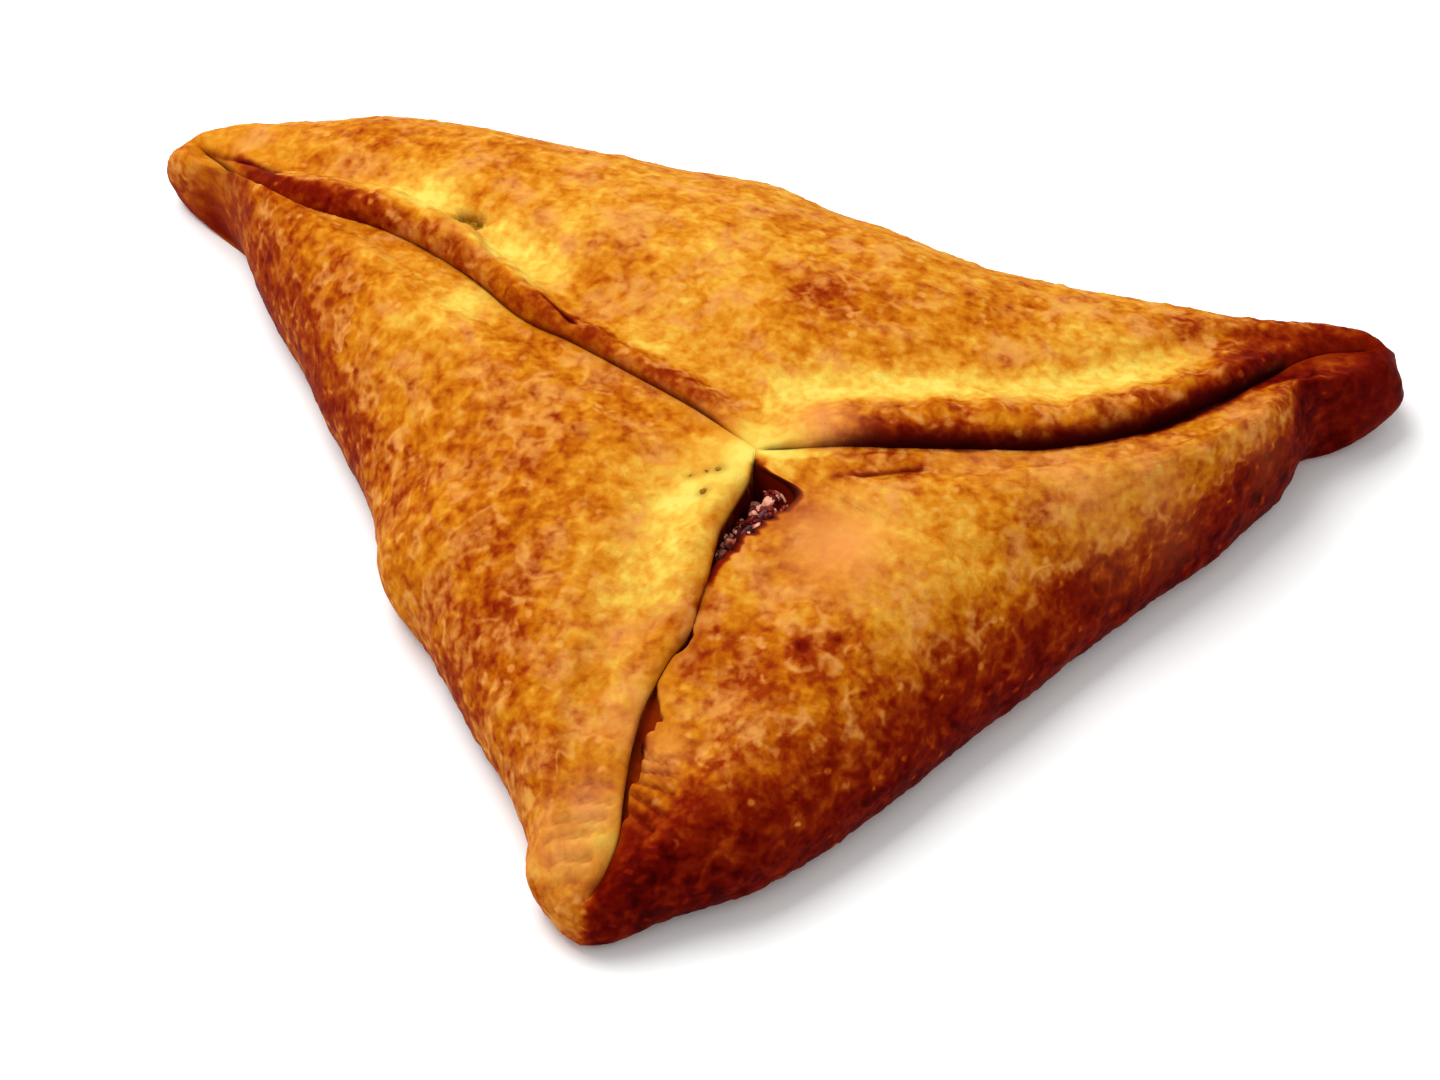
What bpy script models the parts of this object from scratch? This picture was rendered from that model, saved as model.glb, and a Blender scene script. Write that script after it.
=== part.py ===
"""A triangular spinach pie: a round of dough folded up over its filling as three flaps.

The flaps meet in three seams that run from the rounded corners to the middle of the
top. Along two seams one flap's rolled edge lies over its neighbour. The third seam has
split open near the middle, and the filling shows there.

Plan sizes are in millimetres from a point near the middle of the pie, +X along the
longest side and +Y towards it. Heights are above the table. The finished pie stands
with the middle of its outline's box at the world origin.
"""
import math

import bmesh
import bpy
import numpy as np
from mathutils import Matrix

MM = 0.001

# Plan
MIDDLE = (3.0, 2.8)  # where the three seams meet
CORNERS = {  # middle of each rounded corner, and its radius
    "left": ((-64.9, 40.8), 5.0),
    "right": ((54.1, 40.5), 5.9),
    "front": ((-0.9, -41.8), 4.4),
}
# How far each side bows out from the straight line between corners, at shares of its length
BACK_BOW = [(0.05, 1.7), (0.15, 4.1), (0.25, 4.2), (0.36, 3.6), (0.42, 3.7), (0.48, 4.1), (0.56, 1.0),
            (0.61, -0.5), (0.645, -1.8), (0.68, -2.7), (0.71, -3.0), (0.76, -3.2), (0.84, -2.9),
            (0.90, -3.1), (0.94, -2.1), (0.98, -0.6)]
RIGHT_BOW = [(0.025, -1.1), (0.045, -2.2), (0.065, -2.8), (0.085, -2.4), (0.10, -1.6), (0.12, -0.6), (0.14, 0.0),
             (0.17, 0.3), (0.20, 0.7), (0.235, 1.4),
             (0.30, 1.7), (0.375, 2.1), (0.43, 2.3), (0.49, 3.0), (0.56, 3.6), (0.63, 4.2), (0.70, 4.9),
             (0.78, 5.2), (0.88, 4.4), (0.96, 1.6)]
LEFT_BOW = [(0.03, 0.7), (0.07, -0.9), (0.15, -1.7), (0.27, -1.0), (0.35, -1.05), (0.385, -0.5), (0.425, -0.4),
            (0.455, -1.4), (0.50, -2.4), (0.65, -3.1), (0.73, -3.5), (0.80, -3.0), (0.87, -3.5), (0.92, -4.0),
            (0.96, -3.4), (0.985, -1.8)]
# How far each seam bends left of the straight line from its corner to the middle
SEAM_BEND = {
    "left": [(0.0, 0.0), (0.06, -1.2), (0.115, -2.5), (0.19, -3.5), (0.255, -2.7), (0.315, -1.1),
             (0.37, -0.3), (0.5, -0.4), (0.625, -1.8), (0.7, -1.2), (0.8, -0.6), (0.9, 0.1), (1.0, 0.0)],
    "right": [(0.0, -0.6), (0.06, -0.8), (0.11, -0.1), (0.18, 1.8), (0.23, 3.1), (0.29, 4.4), (0.34, 5.6),
              (0.42, 7.0), (0.51, 7.5), (0.59, 7.3), (0.66, 6.2), (0.73, 4.9), (0.8, 3.6), (0.87, 2.0), (0.94, 0.9),
              (1.0, 0.0)],
    "front": [(0.0, -0.8), (0.04, -1.2), (0.105, -1.35), (0.168, -0.65), (0.263, 0.3), (0.36, 0.75),
              (0.42, 0.45), (0.48, 0.05), (0.55, -0.8), (0.605, -0.65), (0.68, -0.35), (0.77, 0.2),
              (0.87, -0.2), (0.93, -0.5), (1.0, 0.0)],
}

# Heights
SIDE_HEIGHT = 5.5  # of the widest line round the sides
CORNER_HEIGHT = 3.6  # of that line at the corners
OVERHANG = {"left": 0.0, "right": 2.2, "front": 0.0}  # of a corner over its own foot
OVERHANG_REACH = 10.0  # along the sides from the corner's tip
FOOT_WIDTH = 4.2  # of the rounded underside between that line and the flat base
SEAM_HEIGHT = {  # at shares of the way from the corner to the middle
    "left": [(0.0, 6.5), (0.12, 9.5), (0.3, 13.5), (0.55, 17.0), (0.8, 19.0), (1.0, 19.6)],
    "right": [(0.0, 8.2), (0.12, 10.2), (0.3, 13.0), (0.55, 16.3), (0.8, 18.6), (1.0, 19.6)],
    "front": [(0.0, 5.8), (0.12, 8.8), (0.3, 12.2), (0.55, 15.6), (0.8, 18.2), (1.0, 19.6)],
}
# How much each flap swells between its side and its seams, at shares of its length
BACK_SWELL = [(0.0, 0.0), (0.15, 1.2), (0.35, 2.4), (0.55, 2.4), (0.75, 1.2), (1.0, 0.0)]
RIGHT_SWELL = [(0.0, 0.0), (0.2, 1.2), (0.5, 2.0), (0.8, 1.2), (1.0, 0.0)]
LEFT_SWELL = [(0.0, 0.0), (0.2, 1.0), (0.5, 2.0), (0.8, 1.2), (1.0, 0.0)]

# Seams
VALLEY_WIDTH = {  # from the foot of the dome to the crease
    "left": [(0.0, 6.0), (0.6, 6.5), (1.0, 6.5)],
    "right": [(0.0, 6.5), (0.3, 8.8), (0.7, 8.8), (1.0, 6.5)],
    "front": [(0.0, 6.0), (1.0, 6.5)],
}
LIP_WIDTH = {
    "left": [(0.0, 1.5), (0.12, 2.0), (0.25, 3.0), (0.6, 3.0), (0.7, 1.8), (1.0, 2.2)],
    "right": [(0.0, 2.0), (0.2, 2.9), (0.4, 3.3), (0.8, 3.2), (1.0, 2.2)],
    "front": [(0.0, 2.2), (1.0, 2.2)],
}
CREASE_HALF_WIDTH = 0.15
LIP_HEIGHT = {  # of the upper flap's rolled edge
    "left": [(0.0, 0.0), (0.06, 0.2), (0.11, 1.0), (0.2, 2.2), (0.45, 2.8), (0.6, 2.6), (0.7, 1.7),
             (0.9, 1.2), (1.0, 0.0)],
    "right": [(0.0, 0.0), (0.12, 0.1), (0.18, 0.8), (0.28, 2.2), (0.5, 2.9), (0.78, 2.6), (0.9, 1.6),
              (0.96, 0.7), (1.0, 0.0)],
    "front": [(0.0, 0.0), (0.15, 0.6), (0.3, 0.7), (0.45, 0.7), (0.6, 1.0), (0.85, 1.6), (1.0, 0.0)],
}
CREASE_DEPTH = {  # of the crease under that edge
    "left": [(0.0, 0.3), (0.3, 0.8), (0.8, 0.6), (1.0, 0.0)],
    "right": [(0.0, 0.3), (0.14, 0.4), (0.24, 1.7), (0.6, 2.4), (0.9, 1.2), (1.0, 0.0)],
    "front": [(0.0, 0.3), (0.2, 0.5), (0.3, 1.0), (0.45, 0.6), (0.55, 0.9), (0.7, 0.7), (0.9, 1.0), (1.0, 0.0)],
}
# The split in the front seam
SPLIT_WIDTH = [(0.68, 0.0), (0.73, 0.8), (0.77, 1.8), (0.81, 2.4), (0.85, 3.5), (0.90, 4.6), (0.93, 4.9),
               (0.95, 4.3), (0.97, 0.0)]
SPLIT_DEPTH = 5.0

# Filling
FILLING_SCALE = 0.80  # of its plan to the pie's, so the dough is 5 to 9 mm thick at the sides
FILLING_RISE = 0.62  # of its height to the pie's
FILLING_BEND = 0.4  # of its seams' bends to the pie's
FLOOR_THICKNESS = 3.0
MOUND_HEIGHT = 2.4  # where it pushes up into the split
MOUND_RADIUS = 3.0
MOUND_SHARES = (0.82, 0.94)  # of the way along the front seam, from the corner
CLEARANCE = 0.3  # between filling and dough

# The small burst in the back flap, near the left seam
VENT_PLACE = (-33.7, 29.5)
VENT_HALF_SIZE = (1.8, 1.2, 2.4)
VENT_TURN = math.radians(15)

# Each flap runs clockwise from one corner to the next, seen from above
FLAPS = [
    {"corners": ("left", "right"), "bow": BACK_BOW, "swell": BACK_SWELL, "on_top": (True, True)},
    {"corners": ("right", "front"), "bow": RIGHT_BOW, "swell": RIGHT_SWELL, "on_top": (False, False)},
    {"corners": ("front", "left"), "bow": LEFT_BOW, "swell": LEFT_SWELL, "on_top": (True, False)},
]
DOUGH_STEPS = 50  # sections along each flap
FILLING_STEPS = 24
DOME_SHARES = (0.035, 0.11, 0.22, 0.38, 0.56, 0.75)  # of the way from the side to the valley
DOME_POWERS = (1.75, 1.9)  # how square the dome's shoulder is
CORNER_SHARE = 0.18  # of a flap's length, over which a corner's low side rises to the full height
CURVE_STEPS = 16  # points read between two given points of a plan curve

CRUST_COLOR = (0.72, 0.36, 0.08, 1.0)
FILLING_COLOR = (0.07, 0.05, 0.02, 1.0)


def smooth_curve(points):
    """Dense points on a centripetal Catmull-Rom curve through the given ones."""
    points = np.asarray(points, float)
    padded = np.vstack([2 * points[0] - points[1], points, 2 * points[-1] - points[-2]])
    dense = []
    for start in range(len(points) - 1):
        a, b, c, d = padded[start:start + 4]
        knots = np.concatenate([[0.0], np.cumsum([math.sqrt(np.linalg.norm(q - p) + 1e-9)
                                                  for p, q in ((a, b), (b, c), (c, d))])])
        for t in np.linspace(knots[1], knots[2], CURVE_STEPS, endpoint=False):
            ab = mix(a, b, knots[0], knots[1], t)
            bc = mix(b, c, knots[1], knots[2], t)
            cd = mix(c, d, knots[2], knots[3], t)
            near = mix(ab, bc, knots[0], knots[2], t)
            far = mix(bc, cd, knots[1], knots[3], t)
            dense.append(mix(near, far, knots[1], knots[2], t))
    dense.append(points[-1])
    return np.array(dense)


def mix(a, b, start, end, t):
    """The point between a and b that belongs to t, where a is at start and b at end."""
    return a + (b - a) * (t - start) / (end - start)


def at_shares(curve, shares):
    """Points of a dense curve at shares of its length."""
    steps = np.linalg.norm(np.diff(curve, axis=0), axis=1)
    length = np.concatenate([[0.0], np.cumsum(steps)])
    return np.stack([np.interp(shares * length[-1], length, curve[:, k]) for k in range(2)], axis=1)


def eased(shares, table):
    """Values of a (share, value) table, joined by a smooth curve that doesn't overshoot."""
    x, y = np.array(table, float).T
    width = np.diff(x)
    slope = np.diff(y) / width
    tangent = np.zeros(len(x))
    for k in range(1, len(x) - 1):
        if slope[k - 1] * slope[k] > 0:
            tangent[k] = 2 * slope[k - 1] * slope[k] / (slope[k - 1] + slope[k])
    tangent[0], tangent[-1] = slope[0], slope[-1]
    shares = np.clip(shares, x[0], x[-1])
    k = np.clip(np.searchsorted(x, shares, side="right") - 1, 0, len(width) - 1)
    t = (shares - x[k]) / width[k]
    return ((2 * t**3 - 3 * t**2 + 1) * y[k] + (t**3 - 2 * t**2 + t) * width[k] * tangent[k]
            + (3 * t**2 - 2 * t**3) * y[k + 1] + (t**3 - t**2) * width[k] * tangent[k + 1])


def corner_tip(name):
    """The outermost point of a rounded corner, on the line from the middle through it."""
    centre, radius = CORNERS[name]
    centre = np.array(centre)
    outward = centre - np.array(MIDDLE)
    return centre + outward / np.linalg.norm(outward) * radius


def side_curve(flap):
    """The outline of one side, from corner tip to corner tip."""
    (start, start_radius), (end, end_radius) = (CORNERS[name] for name in flap["corners"])
    start, end = np.array(start), np.array(end)
    along = (end - start) / np.linalg.norm(end - start)
    lean = (start_radius - end_radius) / np.linalg.norm(end - start)
    outward = np.array([-along[1], along[0]]) * math.sqrt(1 - lean**2) + along * lean
    first, last = start + outward * start_radius, end + outward * end_radius
    tips = [corner_tip(name) for name in flap["corners"]]
    first_turn = unit(unit(tips[0] - start) + outward) * start_radius + start
    last_turn = unit(unit(tips[1] - end) + outward) * end_radius + end
    bowed = [first + (last - first) * share + outward * bow for share, bow in flap["bow"]]
    return smooth_curve([tips[0], first_turn, *bowed, last_turn, tips[1]])


def unit(vector):
    return vector / np.linalg.norm(vector)


def seam_curve(name, bend_share=1.0):
    """The crease from just inside a corner's tip to the middle, with a share of its bends."""
    centre, radius = CORNERS[name]
    start = mix(np.array(centre), corner_tip(name), 0.0, 1.0, 0.35)
    run = np.array(MIDDLE) - start
    sideways = unit(np.array([-run[1], run[0]]))
    return smooth_curve([start + run * share + sideways * bend * bend_share
                         for share, bend in SEAM_BEND[name]])


def flap_sections(flap, steps, with_seams):
    """Points of one flap: a row for each step along it, from the base up to the crease.

    The first half of the flap ends on the crease from its first corner, the second half
    on the crease from its last corner, and both meet in the middle of the pie. Without
    its seams a flap has no rolled edge and no split.
    """
    share = np.linspace(0.0, 1.0, steps + 1)
    first_half = share <= 0.5
    along_seam = np.where(first_half, 2 * share, 2 - 2 * share)
    first, last = flap["corners"]

    def of_seam(table):
        return np.where(first_half, eased(along_seam, table[first]), eased(along_seam, table[last]))

    edge = at_shares(side_curve(flap), share)
    bend_share = 1.0 if with_seams else FILLING_BEND
    crease = np.where(first_half[:, None], at_shares(seam_curve(first, bend_share), along_seam),
                      at_shares(seam_curve(last, bend_share), along_seam))
    on_top = np.where(first_half, *flap["on_top"])
    seam_height, crease_depth = of_seam(SEAM_HEIGHT), of_seam(CREASE_DEPTH)
    lip = np.where(on_top, of_seam(LIP_HEIGHT), 0.0)

    reach = np.linalg.norm(crease - edge, axis=1)
    inward = (crease - edge) / reach[:, None]
    if with_seams and last == "front":
        reach = reach - np.where(first_half, 0.0, eased(along_seam, SPLIT_WIDTH))
    from_corner = np.clip(np.minimum(share, 1 - share) / CORNER_SHARE, 0.0, 1.0)
    body = from_corner**2 * (3 - 2 * from_corner)
    side_height = CORNER_HEIGHT + (SIDE_HEIGHT - CORNER_HEIGHT) * body
    swell = eased(share, flap["swell"])
    foot = np.minimum(FOOT_WIDTH, reach / 2)
    valley = reach - np.minimum(of_seam(VALLEY_WIDTH), 0.55 * reach)
    lip_width = np.minimum(of_seam(LIP_WIDTH), 0.2 * reach)
    tuck = np.where(on_top, 0.25 * lip, 0.0)
    shadow = np.where(on_top, 0.0, 0.25 * (crease_depth - 0.3))

    rows = [(foot, 0.0 * foot), (0.30 * foot, 0.22 * side_height), (0.0 * foot, side_height)]
    for t in DOME_SHARES:
        shoulder = (1 - (1 - t)**DOME_POWERS[0])**(1 / DOME_POWERS[1])
        rise = side_height + (seam_height - side_height) * shoulder
        rows.append((valley * t, rise + swell * math.sin(math.pi * t**0.8)))
    rows.append((valley, seam_height - 0.15 * np.minimum(reach / 20, 1.0)))
    if with_seams:
        rows.append((reach - 1.55 * lip_width, seam_height + 0.45 * lip))
        rows.append((reach - 0.75 * lip_width, seam_height + lip))
        rows.append((reach - 0.12 * lip_width, seam_height + 0.80 * lip - 0.05))
        rows.append((reach + tuck - CREASE_HALF_WIDTH, seam_height + 0.30 * lip - 0.1 - shadow))
    rows.append((reach, seam_height - crease_depth))
    points = np.stack([np.column_stack([edge + inward * across[:, None], height])
                       for across, height in rows], axis=1)
    for name in flap["corners"]:
        tip = corner_tip(name)
        low = np.clip(1 - points[:, :, 2] / CORNER_HEIGHT, 0.0, 1.0)
        near = np.exp(-(np.linalg.norm(edge - tip, axis=1) / OVERHANG_REACH)**2)
        shift = OVERHANG[name] * low * near[:, None]
        points[:, :, :2] -= shift[:, :, None] * unit(tip - np.array(MIDDLE))
    return points


def split_rows(upper, lower):
    """The walls and floor of the split, between the creases of the two flaps beside it."""
    across = lower - upper
    width = np.linalg.norm(across, axis=1)[:, None]
    depth = np.minimum(width * 2.0, SPLIT_DEPTH) * np.array([[0.0, 0.0, 1.0]])
    return [upper + 0.10 * across - 0.6 * depth, upper + 0.25 * across - depth,
            lower - 0.25 * across - depth, lower - 0.10 * across - 0.6 * depth]


def skin(steps, with_seams):
    """The pie's outer surface as a closed mesh, in millimetres."""
    mesh = bmesh.new()
    flaps = [flap_sections(flap, steps, with_seams) for flap in FLAPS]
    base = []
    for points in flaps:
        grid = [[mesh.verts.new(point) for point in row] for row in points]
        base += [row[0] for row in grid[:-1]]
        join_grid(mesh, grid)
    mesh.faces.new(base)
    if with_seams:
        half = steps // 2
        upper = flaps[2][:half + 1, -1]
        lower = flaps[1][::-1][:half + 1, -1]
        rows = np.stack([upper, *split_rows(upper, lower), lower], axis=1)
        join_grid(mesh, [[mesh.verts.new(point) for point in row] for row in rows])
    bmesh.ops.remove_doubles(mesh, verts=mesh.verts, dist=0.002)
    bmesh.ops.dissolve_degenerate(mesh, dist=0.002, edges=mesh.edges)
    bmesh.ops.recalc_face_normals(mesh, faces=mesh.faces)
    return mesh


def join_grid(mesh, grid):
    """Quads between the neighbouring vertices of a grid."""
    for here, after in zip(grid[:-1], grid[1:]):
        for k in range(len(here) - 1):
            mesh.faces.new((here[k], here[k + 1], after[k + 1], after[k]))


def filling_mesh():
    """The filling: the pie's own form drawn in towards the middle, raised under the split."""
    mesh = skin(FILLING_STEPS, with_seams=False)
    middle = np.array(MIDDLE)
    ridge = at_shares(seam_curve("front"), np.linspace(*MOUND_SHARES, 9))
    for vertex in mesh.verts:
        x, y, z = vertex.co
        plan = middle + (np.array([x, y]) - middle) * FILLING_SCALE
        distance = np.linalg.norm(ridge - plan, axis=1).min()
        mound = MOUND_HEIGHT * math.exp(-(distance / MOUND_RADIUS)**2) * (z > SIDE_HEIGHT)
        vertex.co = (*plan, FLOOR_THICKNESS + FILLING_RISE * z + mound)
    bmesh.ops.triangulate(mesh, faces=mesh.faces)  # so its hollow folds along the same lines
    return mesh


def grown(mesh, distance):
    """A copy of a mesh with its faces moved out by a distance."""
    copy = mesh.copy()
    copy.normal_update()
    moves = [vertex.normal * vertex.calc_shell_factor() * distance for vertex in copy.verts]
    for vertex, move in zip(copy.verts, moves):
        vertex.co += move
    return copy


def add_object(name, mesh, origin):
    """An object from a mesh in millimetres, placed so that the given plan point is at 0, 0."""
    for vertex in mesh.verts:
        vertex.co = (vertex.co.x - origin[0], vertex.co.y - origin[1], vertex.co.z)
    bmesh.ops.scale(mesh, vec=(MM, MM, MM), verts=mesh.verts)
    data = bpy.data.meshes.new(name)
    mesh.to_mesh(data)
    mesh.free()
    data.shade_smooth()
    item = bpy.data.objects.new(name, data)
    bpy.context.scene.collection.objects.link(item)
    return item


def add_cutter(name, mesh, origin, target):
    """A hidden shape that is cut from the target."""
    cutter = add_object(name, mesh, origin)
    cutter.hide_render = True
    cutter.display_type = "WIRE"
    cut = target.modifiers.new(name, "BOOLEAN")
    cut.operation = "DIFFERENCE"
    cut.solver = "EXACT"
    cut.object = cutter


def vent_mesh(dough):
    """An egg-shaped cutter for the small burst, half sunk in the top of the dough."""
    top = np.array([vertex.co for vertex in dough.verts if vertex.co.z > SIDE_HEIGHT])
    nearest = np.linalg.norm(top[:, :2] - np.array(VENT_PLACE), axis=1).argmin()
    mesh = bmesh.new()
    bmesh.ops.create_uvsphere(mesh, u_segments=16, v_segments=8, radius=1.0)
    bmesh.ops.scale(mesh, vec=VENT_HALF_SIZE, verts=mesh.verts)
    bmesh.ops.rotate(mesh, matrix=Matrix.Rotation(VENT_TURN, 3, "Z"), verts=mesh.verts)
    bmesh.ops.translate(mesh, vec=(*VENT_PLACE, top[nearest, 2]), verts=mesh.verts)
    return mesh


def add_material(item, name, color, roughness):
    material = bpy.data.materials.new(name)
    material.use_nodes = True
    shader = material.node_tree.nodes["Principled BSDF"]
    shader.inputs["Base Color"].default_value = color
    shader.inputs["Roughness"].default_value = roughness
    shader.inputs["Metallic"].default_value = 0.0
    item.data.materials.append(material)


def main():
    for item in list(bpy.data.objects):
        bpy.data.objects.remove(item, do_unlink=True)

    dough = skin(DOUGH_STEPS, with_seams=True)
    plan = np.array([vertex.co.xy for vertex in dough.verts])
    origin = (plan.min(axis=0) + plan.max(axis=0)) / 2

    core = filling_mesh()
    hollow = grown(core, CLEARANCE)
    vent = vent_mesh(dough)
    crust = add_object("crust", dough, origin)
    add_material(crust, "Baked dough", CRUST_COLOR, 0.55)
    filling = add_object("filling", core, origin)
    add_material(filling, "Cooked spinach", FILLING_COLOR, 0.4)
    add_cutter("hollow_cutter", hollow, origin, crust)
    add_cutter("vent_cutter", vent, origin, crust)


main()
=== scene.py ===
import math

import bmesh
import bpy
import numpy as np
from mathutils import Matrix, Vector
from mathutils.bvhtree import BVHTree


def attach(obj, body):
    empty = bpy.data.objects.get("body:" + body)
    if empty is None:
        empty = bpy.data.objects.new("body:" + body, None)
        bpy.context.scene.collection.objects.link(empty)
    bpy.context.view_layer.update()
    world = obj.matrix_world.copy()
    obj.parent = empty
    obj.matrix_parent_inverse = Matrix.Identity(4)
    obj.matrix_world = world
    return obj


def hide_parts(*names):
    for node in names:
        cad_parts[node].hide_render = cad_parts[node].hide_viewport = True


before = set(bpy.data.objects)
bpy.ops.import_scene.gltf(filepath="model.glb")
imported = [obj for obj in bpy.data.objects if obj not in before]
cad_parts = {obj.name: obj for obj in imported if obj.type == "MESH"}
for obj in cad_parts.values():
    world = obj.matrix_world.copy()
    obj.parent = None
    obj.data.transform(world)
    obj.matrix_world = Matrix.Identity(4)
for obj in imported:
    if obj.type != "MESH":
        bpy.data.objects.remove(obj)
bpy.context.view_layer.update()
print("frame loaded")

mm = 0.001

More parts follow.
